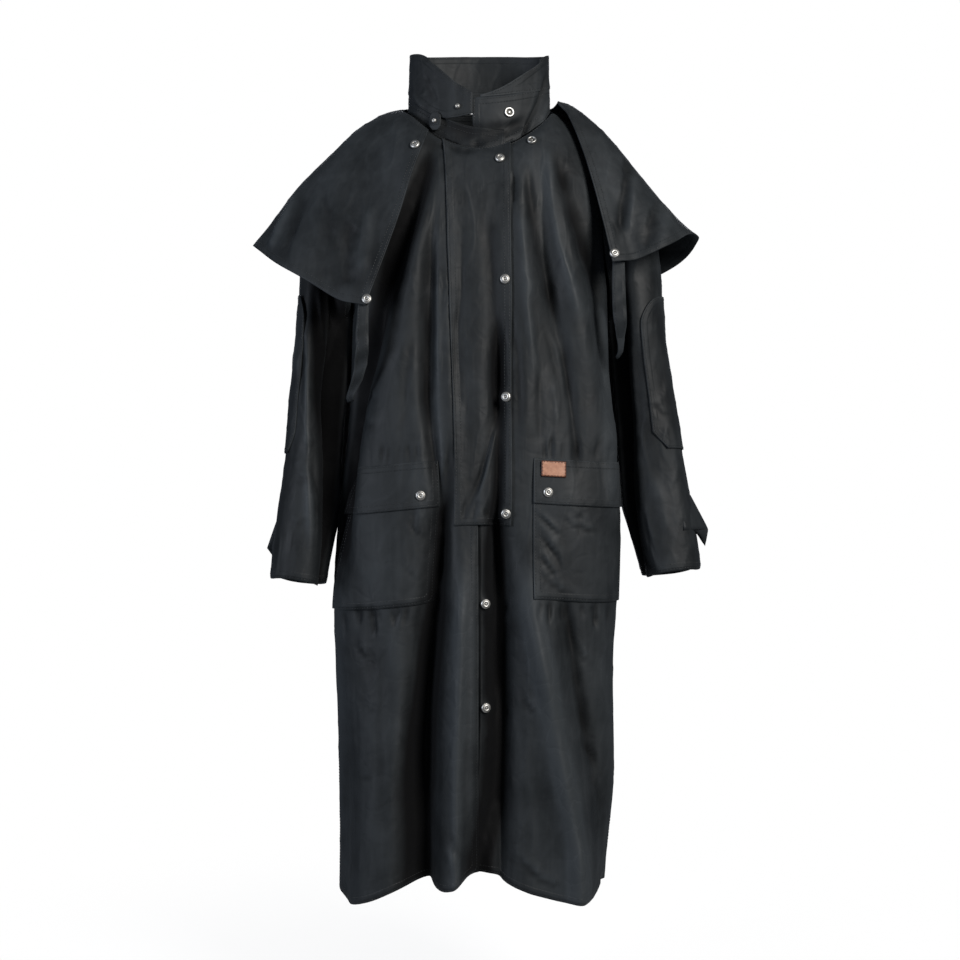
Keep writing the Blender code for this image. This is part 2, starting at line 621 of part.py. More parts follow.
def seam_step(face, arc, z):
    """Half the gap of the side seam, taken off the panel's last column."""
    side = -1 if arc < 0 else 1
    near = smooth((abs(arc) - (reach(face, side, z) - 0.004)) / 0.004)
    forward = -1.0 if face == "front" else 1.0
    return Vector((0, forward * (0.4 * SEAM + 0.25 * CLOTH) * near * (z <= UNDERARM), 0))


def front_point(u, z, out=0.0):
    """A point on or off the fronts, by grid column."""
    arc = front_arc(u, z)
    return off_panel("front", arc, z, out) + seam_step("front", arc, z)


def under_right(u, z):
    """The left front's offset: it lies under the right one at the middle."""
    return -LAYER * (1 - smooth((front_arc(u, z) - 0.002) / 0.024))


def front_panels():
    cloth("right_front", RIGHT_COLUMNS, BODY_HEIGHTS, front_point)
    cloth("left_front", LEFT_COLUMNS, BODY_HEIGHTS, lambda u, z: front_point(u, z, under_right(u, z)))


def back_panel():
    def place(share, z):
        arc = share * reach("back", -1 if share < 0 else 1, z)
        return off_panel("back", arc, z, 0.0) + seam_step("back", arc, z)

    cloth("back", shares(30, -1.0, 1.0), BODY_HEIGHTS, place)


def storm_flap():
    """The weather flap over the closure, sewn at the wearer's right and snapped at the left."""
    columns = [u for u in RIGHT_COLUMNS + LEFT_COLUMNS[4:] if -1.001 < u < 1.001]
    rows = [z for z in BODY_HEIGHTS if z >= FLAP_BOTTOM - 1e-9]
    rows[0] -= 0.006
    cloth("storm_flap", columns, rows, lambda u, z: front_point(u, z, LAYER + 0.001 * smooth(u)), STRAP_CLOTH)


def pocket_puff(u, z):
    """How far a pocket stands off the panel in its middle."""
    across = math.sin(math.pi * min(1.0, abs(u) - 2))
    return 0.003 * max(0.0, across * math.sin(math.pi * smooth((z - POCKET_BOTTOM) / 0.22)))


def flap_lift(u, z):
    """A pocket flap lies on the panel at its seam and on the pocket below."""
    down = (POCKET_TOP - z) / (POCKET_TOP - FLAP_LINE)
    return LAYER + mix(0.0, LAYER + pocket_puff(u, z), smooth(down * 1.6))


def pocket(name, columns):
    """A patch pocket with its flap, both laid on the panel and moved out."""
    rows = heights((FLAP_LINE + 0.012, 1), (FLAP_LINE, 1), (FLAP_BOTTOM, 2), (POCKET_BOTTOM, 0))
    flap_rows = heights((POCKET_TOP, 3), (FLAP_LINE, 0))
    bag = cloth(name, columns, rows, lambda u, z: front_point(u, z, LAYER + pocket_puff(u, z)), STRAP_CLOTH)
    cloth(name + "_flap", columns, flap_rows, lambda u, z: front_point(u, z, flap_lift(u, z)), STRAP_CLOTH)
    return bag


def pockets():
    right = [u for u in RIGHT_COLUMNS if -2.85 < u < -1.99]
    left = [u for u in LEFT_COLUMNS if 1.99 < u < 2.85]
    pocket("right_pocket", right)
    pocket("left_pocket", left)


def sleeves():
    turns = [TURN_STEP * k for k in range(21)]
    for side, name in ((-1, "right"), (1, "left")):
        cloth(name + "_sleeve", turns, SLEEVE_ROWS, lambda turn, along, s=side: sleeve(s, turn, along), closed=True)


def off_sleeve(side, turn, along, out):
    step_turn, step_along = 1.5, 0.01
    here = sleeve(side, turn, along)
    a = sleeve(side, turn + step_turn, along) - sleeve(side, turn - step_turn, along)
    b = sleeve(side, turn, along + step_along) - sleeve(side, turn, along - step_along)
    normal = a.cross(b).normalized()
    centre = (sleeve(side, turn + 180, along) + here) / 2
    if normal.dot(here - centre) < 0:
        normal.negate()
    return here + normal * out


def elbow_patches():
    """Reinforcing patches with cut corners over the outside of each elbow, on the sleeves' grid."""
    for side, name, first in ((-1, "right", 3), (1, "left", 5)):
        turns = [TURN_STEP * (first - 9 + k) for k in range(10)]
        rows = [5 / 6, 0.91] + SLEEVE_ROWS[6:10] + [1.43, 1.50]

        def place(turn, along, s=side, span=turns, ends=(rows[0], rows[-1])):
            if along in ends:
                turn = min(span[-2], max(span[1], turn))
            return off_sleeve(s, turn, along, LAYER)

        cloth(name + "_elbow_patch", turns, rows, place, STRAP_CLOTH, closed=True)


# Cuff tabs: angle of the seam on the sleeve, its top and bottom along it, and the free end
TabRow = namedtuple("TabRow", "side name turn top bottom x y z half")
TABS = (
    TabRow(-1, "right", 18.0, 1.75, 1.87, -0.3300, -0.040, -0.684, 0.012),
    TabRow(1, "left", 18.0, 1.70, 1.83, 0.3480, -0.030, -0.664, 0.014),
)


def cuff_tabs():
    """Tightening tabs sewn at the outside of each cuff, their free ends hanging off it."""
    for tab in TABS:
        def place(share, down, t=tab):
            root = off_sleeve(t.side, t.turn, mix(t.top, t.bottom, down), CLOTH + SEAM)
            tip = Vector((t.x, t.y, t.z + t.half * (1 - 2 * down)))
            bow = Vector((t.side * 0.5, -1, 0)) * 0.006 * math.sin(math.pi * share)
            return root.lerp(tip, share) + bow

        cloth(tab.name + "_cuff_tab", shares(6), shares(3), place, STRAP_CLOTH)


def off_coat(point, gap):
    """A point moved out until it is clear of the body and the sleeves."""
    for _ in range(2):
        for tree in BENEATH:
            near, normal, _, distance = tree.find_nearest(point)
            if normal.dot(near - Vector((0, 0, near.z - 0.1))) < 0:
                normal = -normal
            height = (point - near).dot(normal)
            if distance < gap or (height < 0 and abs(height) > 0.9 * distance and distance < 0.05):
                point = point + normal * (gap - height)
    return point


def resting(point, gap):
    """The place on the body's panels that is nearest to a point, moved off them by a gap."""
    found = [tree.find_nearest(point) for tree in BENEATH[:3]]
    near, normal, _, _ = min(found, key=lambda hit: hit[3])
    if normal.dot(near - Vector((0, 0, near.z - 0.1))) < 0:
        normal = -normal
    return near + normal * gap


def draped_cape(side, along, down):
    """The cape as it lies on the shoulders: its neck edge rests on the coat but for a roll at the
    wearer's left, and half the gap of its seam is taken off at the middle of the back."""
    found = off_coat(cape(side, along, down), 0.006)
    sewn = smooth(1 - down / 0.08) * (1.0 if side < 0 else smooth((along - 0.3) / 0.3))
    if sewn > 0:
        found = found.lerp(resting(found, CLOTH + 8 * SEAM), sewn)
    found.x += side * SEAM * smooth((along - 0.9) / 0.1)
    return found


def capes():
    for name in ("right_front", "left_front", "back", "right_sleeve", "left_sleeve"):
        mesh = COAT.objects[name].data
        points = [vertex.co.copy() for vertex in mesh.vertices]
        BENEATH.append(BVHTree.FromPolygons(points, [tuple(face.vertices) for face in mesh.polygons]))
    downs = (0, 0.08, 0.18, 0.3, 0.42, 0.54, 0.66, 0.78, 0.9, 1)
    for side, name in ((-1, "right"), (1, "left")):
        cloth(name + "_cape", shares(24), downs, lambda along, down, s=side: draped_cape(s, along, down))


def collar():
    """The stand, which overlaps at the throat, and the raised collar on it."""

    def stand(turn, share):
        z = mix(neck_height(turn) + 0.0025, column(STAND_ROWS, "turn", "top", turn), share)
        return collar_ring(turn, z)

    def fall(turn, share):
        low = column(STAND_ROWS, "turn", "top", turn) + 1.3 * SEAM + column(COLLAR_ROWS, "turn", "lift", turn)
        return collar_ring(turn, mix(low, column(COLLAR_ROWS, "turn", "top", turn), share))

    cloth("collar_stand", ring_turns(-366.0, 20.0), shares(3), stand)
    cloth("collar", ring_turns(-360.0, -9.0), shares(4), fall)


def latch():
    """A short tongue on the right side of the stand."""

    def place(share, down):
        half = 5.6 * math.sqrt(max(0.15, 1 - (2 * down - 1) ** 4))
        return collar_ring(-37.0 + half * (1 - 2 * share), mix(-0.018, -0.046, down), LAYER)

    cloth("throat_latch", shares(3), shares(5), place, STRAP_CLOTH)


# Straps that hold the cape's front corners down: middle line and half-width
StrapRow = namedtuple("StrapRow", "x y z half")
RIGHT_STRAP = (
    StrapRow(-0.170, -0.1320, -0.306, 0.011),
    StrapRow(-0.1695, -0.1370, -0.340, 0.009),
    StrapRow(-0.171, -0.1360, -0.378, 0.006),
    StrapRow(-0.178, -0.1250, -0.415, 0.007),
    StrapRow(-0.190, -0.1080, -0.455, 0.008),
)
LEFT_STRAP = (
    StrapRow(0.204, -0.1000, -0.240, 0.009),
    StrapRow(0.205, -0.1120, -0.280, 0.009),
    StrapRow(0.206, -0.1120, -0.325, 0.009),
    StrapRow(0.203, -0.1020, -0.360, 0.009),
    StrapRow(0.197, -0.0840, -0.392, 0.008),
)


def cape_straps():
    for name, table in (("right", RIGHT_STRAP), ("left", LEFT_STRAP)):
        def place(across, down, rows=table):
            knots = [(k / (len(rows) - 1), row) for k, row in enumerate(rows)]
            at = [through([(t, getattr(row, f)) for t, row in knots], down) for f in StrapRow._fields]
            point = Vector((at[0] + at[3] * across, at[1], at[2]))
            return point.lerp(resting(point, CLOTH + SEAM), smooth((down - 0.7) / 0.3))

        cloth(name + "_cape_strap", shares(2, -1.0, 1.0), shares(10), place, STRAP_CLOTH)


CAP = ((1.0, 0.0), (0.97, 0.45), (0.66, 0.85), (0.0, 1.0))
OPEN_RING = ((1.0, 0.0), (1.0, 0.45), (0.70, 0.50), (0.64, 0.18), (0.34, 0.18), (0.30, 0.80), (0.0, 0.85))


def snap(name, surface, profile=CAP, radius=SNAP_RADIUS):
    """One half of a snap, turned on its axis, that stands just clear of a surface(du, dv)."""
    steps = 12
    centre = surface(0, 0)
    across = surface(0.004, 0) - surface(-0.004, 0)
    normal = across.cross(surface(0, 0.004) - surface(0, -0.004)).normalized()
    if normal.dot(centre - Vector((0, 0.02, centre.z))) < 0:
        normal.negate()
    wide = 0.7 * radius * 0.008 / across.length
    tall = 0.7 * radius * 0.008 / (surface(0, 0.004) - surface(0, -0.004)).length
    rim = [surface(wide * a, tall * b) for a in (-1, 0, 1) for b in (-1, 0, 1)]
    seat = max((point - centre).dot(normal) for point in rim) + 2 * SEAM
    frame = normal.to_track_quat("Z", "Y").to_matrix()
    work = bmesh.new()
    rings = []
    for r, h in profile[:-1]:
        turns = [2 * math.pi * k / steps for k in range(steps)]
        rings.append([work.verts.new((r * radius * math.cos(t), r * radius * math.sin(t), h * SNAP_HEIGHT)) for t in turns])
    tip = work.verts.new((0, 0, profile[-1][1] * SNAP_HEIGHT))
    work.faces.new(rings[0][::-1])
    for low, high in zip(rings, rings[1:]):
        for k in range(steps):
            n = (k + 1) % steps
            work.faces.new((low[k], low[n], high[n], high[k]))
    for k in range(steps):
        work.faces.new((rings[-1][k], rings[-1][(k + 1) % steps], tip))
    bmesh.ops.transform(work, matrix=Matrix.Translation(centre + normal * seat) @ frame.to_4x4(), verts=work.verts)
    mesh = bpy.data.meshes.new(name)
    work.to_mesh(mesh)
    work.free()
    add(name, mesh, METAL)


def on_fronts(arc, z, out):
    """The outer face of a layer on the fronts, as snap() wants it."""
    return lambda a, b: off_panel("front", arc + a, z + b, out)


def on_collar(turn, z, out):
    return lambda a, b: collar_ring(turn + math.degrees(a / 0.09), z + b, out)


def on_cape(side, along, down):
    def outer(a, b):
        u, v = along + a / 0.9, down - b / 0.3
        across = draped_cape(side, u + 0.01, v) - draped_cape(side, max(0.0, u - 0.01), v)
        normal = across.cross(draped_cape(side, u, v + 0.02) - draped_cape(side, u, v - 0.02)).normalized()
        place = draped_cape(side, u, v)
        if normal.dot(place - Vector((0, 0, place.z - 0.1))) < 0:
            normal.negate()
        return place + normal * (CLOTH / 2)

    return outer


def snaps():
    outer, on_flap = CLOTH / 2, LAYER + 0.0009 + STRAP_CLOTH / 2
    for k, (arc, z) in enumerate(((0.029, -0.140), (0.037, -0.282), (0.040, -0.455), (0.038, -0.625))):
        snap(f"flap_snap_{k + 1}", on_fronts(arc, z, on_flap))
    for k, z in enumerate((-0.758, -0.910)):
        snap(f"placket_snap_{k + 1}", on_fronts(0.0072, z, outer - 0.8 * LAYER))
    snap("right_pocket_snap", on_fronts(-0.088, -0.594, 2 * LAYER + outer))
    snap("left_pocket_snap", on_fronts(0.099, -0.595, 2 * LAYER + SEAM + outer))
    snap("right_cape_neck_snap", on_cape(-1, 0.055, 0.14))
    snap("right_cape_corner_snap", on_cape(-1, 0.014, 0.97))
    snap("left_cape_corner_snap", on_cape(1, 0.034, 0.955))
    snap("left_neck_stud", on_fronts(0.072, -0.130, outer - SEAM), OPEN_RING, 0.007)
    snap("throat_ring", on_collar(-336.3, -0.020, outer), OPEN_RING, 0.0075)
    snap("latch_snap", on_collar(-37.0, -0.032, LAYER + outer), CAP, 0.0038)
    snap("throat_stud", on_collar(-17.5, -0.012, outer), CAP, 0.0040)


def label():
    """A plain leather label on the flap of the left pocket."""
    rows = shares(2, -0.549, -0.572)
    cloth("label", shares(4, 0.089, 0.125), rows,
          lambda arc, z: off_panel("front", arc, z, LAYER + 0.0042), 0.0016, finish=HIDE)


COAT = None
BENEATH = []  # the surfaces that the cape lies on


def main():
    global COAT
    for obj in list(bpy.data.objects):
        bpy.data.objects.remove(obj)
    COAT = collection("duster_coat")
    front_panels()
    back_panel()
    storm_flap()
    pockets()
    label()
    sleeves()
    elbow_patches()
    cuff_tabs()
    capes()
    cape_straps()
    collar()
    latch()
    snaps()


main()
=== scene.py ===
# %% [markdown]
# # A black waxed-cotton duster coat
# The coat hangs hollow, as if a wearer had just been lifted out of it. Its pieces of cloth are
# already true walls in the CAD frame, but those walls are coarse. Here each wall is made finer,
# given the creases of heavy waxed cloth, and dressed with its seams, stitches, snaps and finish.

import heapq
import math

import bmesh
import bpy
import numpy as np
from mathutils import Matrix, Vector


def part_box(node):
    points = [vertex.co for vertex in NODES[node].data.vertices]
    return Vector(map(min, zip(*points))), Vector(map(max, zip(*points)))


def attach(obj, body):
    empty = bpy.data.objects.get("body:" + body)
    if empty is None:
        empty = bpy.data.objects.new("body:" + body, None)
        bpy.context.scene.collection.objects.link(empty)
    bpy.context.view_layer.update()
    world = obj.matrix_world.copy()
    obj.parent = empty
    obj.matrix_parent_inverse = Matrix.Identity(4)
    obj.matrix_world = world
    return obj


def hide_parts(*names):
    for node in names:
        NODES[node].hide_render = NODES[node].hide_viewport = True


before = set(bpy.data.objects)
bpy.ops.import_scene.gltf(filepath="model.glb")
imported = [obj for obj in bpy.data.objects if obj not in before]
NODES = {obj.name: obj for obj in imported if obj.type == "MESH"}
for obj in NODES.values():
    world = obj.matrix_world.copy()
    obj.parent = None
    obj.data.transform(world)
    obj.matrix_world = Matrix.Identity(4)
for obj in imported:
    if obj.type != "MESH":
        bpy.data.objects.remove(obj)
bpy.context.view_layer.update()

# %% [markdown]
# ## Where the eye stands
# The photograph looks straight at the front from about chest height. Every crease that shows in it
# is noted below in the picture's own pixels, so one function has to say which pixel a point of the
# coat falls on. The camera is made from the same numbers, which keeps the two in step.

# %% The camera, and the pixel that a point falls on
EYE = Vector((0.0, -2.3, -0.577))  # metres, at the height of the picture's middle
PICTURE = 960  # pixels across and down
PIXEL = 0.00155  # metres that one pixel covers at the middle plane of the coat
BACK_DEPTH = 0.12  # metres from that plane to the coat's back


def show(name, data):
    """Puts a mesh, a light or a camera into the scene, as an object of that name."""
    made = bpy.data.objects.new(name, data)
    bpy.context.scene.collection.objects.link(made)
    return made


def pixel_at(depth):
    """Metres that a pixel covers at a depth, which is y in the frame."""
    return PIXEL * (depth - EYE.y) / -EYE.y


def camera():
    lens = 18 / (PICTURE / 2 * PIXEL / -EYE.y)
    data = bpy.data.cameras.new("eye")
    data.lens = lens
    data.clip_start = 0.05
    made = show("eye", data)
    made.location = EYE
    made.rotation_euler = (math.radians(90), 0, 0)
    bpy.context.scene.camera = made
    return lens


def in_picture(points, behind=False):
    """Pixel columns and rows of points. Seen from behind, the picture is turned round the middle."""
    if behind:
        step = pixel_at(-BACK_DEPTH)
        return PICTURE / 2 - points[:, 0] / step, PICTURE / 2 - (points[:, 2] - EYE.z) / step
    step = pixel_at(points[:, 1])
    return PICTURE / 2 + points[:, 0] / step, PICTURE / 2 - (points[:, 2] - EYE.z) / step


print("lens", round(camera(), 1), "mm")

# %% [markdown]
# ## From a coarse wall to a fine one
# A wall of the CAD frame is a closed solid: an outer face, an inner face and a narrow rim. Merging
# its doubles and pairing its triangles gives back the squares it was made of, and a Subdivision
# Surface then rounds it. The rim's edges are creased first, so the cloth keeps its crisp cut edge.
# The rim is found by its narrow faces, and what it parts are the outer and the inner face.

# %% Make a wall fine
RIM_WIDTH = 0.0026  # a face with an edge shorter than this belongs to the rim
OUTSIDE, INSIDE, RIM = 0, 1, 2


def seam(value, low, high):
    """Rises smoothly from 0 at low to 1 at high."""
    share = np.clip((value - low) / (high - low), 0, 1)
    return share * share * (3 - 2 * share)


def mark_faces(work, outward):
    """Gives each face the number of the side that it is on."""
    left = set()
    for face in work.faces:
        if min(edge.calc_length() for edge in face.edges) < RIM_WIDTH:
            face.material_index = RIM
        else:
            left.add(face)
    groups = []
    while left:
        group = [left.pop()]
        for face in group:
            for edge in face.edges:
                for other in edge.link_faces:
                    if other in left:
                        left.discard(other)
                        group.append(other)
        groups.append(group)
    groups.sort(key=lambda group: -sum(face.calc_area() for face in group))
    facing = []
    for group in groups[:2]:
        centres = np.array([face.calc_center_median() for face in group])
        normals = np.array([face.normal for face in group])
        facing.append(float((normals * outward(centres)).sum()))
    for number, group in enumerate(groups):
        inner = number == int(facing[0] > facing[1]) if number < 2 else False
        for face in group:
            face.material_index = INSIDE if inner else OUTSIDE


def baked(holder):
    """What an object's modifiers make of it, as a plain mesh. The object is taken away."""
    done = bpy.data.meshes.new_from_object(holder.evaluated_get(bpy.context.evaluated_depsgraph_get()))
    bpy.data.objects.remove(holder)
    return done


def fine_wall(name, levels, outward):
    """A copy of a CAD wall, subdivided, as a mesh whose faces know which side they are on."""
    work = bmesh.new()
    work.from_mesh(NODES[name].data)
    bmesh.ops.remove_doubles(work, verts=work.verts, dist=2e-6)
    bmesh.ops.join_triangles(
        work, faces=work.faces, angle_face_threshold=math.radians(60), angle_shape_threshold=math.radians(65)
    )
    work.normal_update()
    mark_faces(work, outward)
    creased = work.edges.layers.float.new("crease_edge")
    pinned = work.verts.layers.float.new("crease_vert")
    for edge in work.edges:
        sides = [face.material_index == RIM for face in edge.link_faces]
        if sides.count(True) == 1:
            edge[creased] = 1.0
        if sides == [True, True] and edge.calc_face_angle(0.0) > math.radians(38):
            edge[creased] = 1.0
            for vertex in edge.verts:
                vertex[pinned] = 1.0
    coarse = bpy.data.meshes.new(name + "_coarse")
    work.to_mesh(coarse)
    work.free()
    holder = show(name + "_coarse", coarse)
    finer = holder.modifiers.new("Finer", "SUBSURF")
    finer.levels = finer.render_levels = levels
    finer.boundary_smooth = "PRESERVE_CORNERS"
    return baked(holder)


def column(rows, label, kind=float, each=1):
    """One value of every row of a mesh, such as each face's area."""
    found = np.empty(len(rows) * each, kind)
    rows.foreach_get(label, found)
    return found


def points_of(mesh):
    return column(mesh.vertices, "co", each=3).reshape(-1, 3)


# %% [markdown]
# ## Which way is out
# A crease lifts or sinks the cloth along the way out of the coat. Both faces of a wall have to move
# the same way, or the wall would thin and tear, so the way out comes from the coat's form and not
# from the face: a squarish oval for the body, each arm's own middle for a sleeve, a flattened dome
# for the cape.

# %% The ways out of the body, the cape and a sleeve
HALF_WIDTH, HALF_DEPTH, SQUARE = 0.215, 0.120, 2.6  # the body's section, in metres
DOME = Vector((0.30, 0.15, 0.40))
DOME_HEIGHT = -0.42
COLLAR_WIDTH, COLLAR_DEPTH = 0.11, 0.064  # half the collar's oval, in metres
COLLAR_MIDDLE = 0.006
ARM_LEVELS = np.linspace(-0.74, -0.26, 13)  # heights at which an arm's middle is measured


def unit(ways):
    return ways / np.maximum(np.linalg.norm(ways, axis=1, keepdims=True), 1e-9)


def out_of_body(points):
    across = np.sign(points[:, 0]) * np.abs(points[:, 0] / HALF_WIDTH) ** (SQUARE - 1) / HALF_WIDTH
    deep = np.sign(points[:, 1]) * np.abs(points[:, 1] / HALF_DEPTH) ** (SQUARE - 1) / HALF_DEPTH
    return unit(np.stack([across, deep, np.zeros(len(points))], axis=1))


def out_of_cape(points):
    low = np.maximum(points[:, 2] - DOME_HEIGHT, 0.0)
    return unit(np.stack([points[:, 0] / DOME.x**2, points[:, 1] / DOME.y**2, low / DOME.z**2], axis=1))


def out_of_collar(points):
    across = points[:, 0] / COLLAR_WIDTH
    deep = (points[:, 1] - COLLAR_MIDDLE) / COLLAR_DEPTH
    return unit(np.stack([across, deep, np.zeros(len(points))], axis=1))


def out_of_sleeve(name):
    """The way out of one arm: from its middle line, which is measured on the CAD wall."""
    points = points_of(NODES[name].data)
    near = [points[np.abs(points[:, 2] - z) < 0.035] for z in ARM_LEVELS]
    middle = np.array([(part.min(axis=0) + part.max(axis=0)) / 2 for part in near])

    def out(places):
        x = np.interp(places[:, 2], ARM_LEVELS, middle[:, 0])
        y = np.interp(places[:, 2], ARM_LEVELS, middle[:, 1])
        return unit(np.stack([places[:, 0] - x, places[:, 1] - y, np.zeros(len(places))], axis=1))

    return out
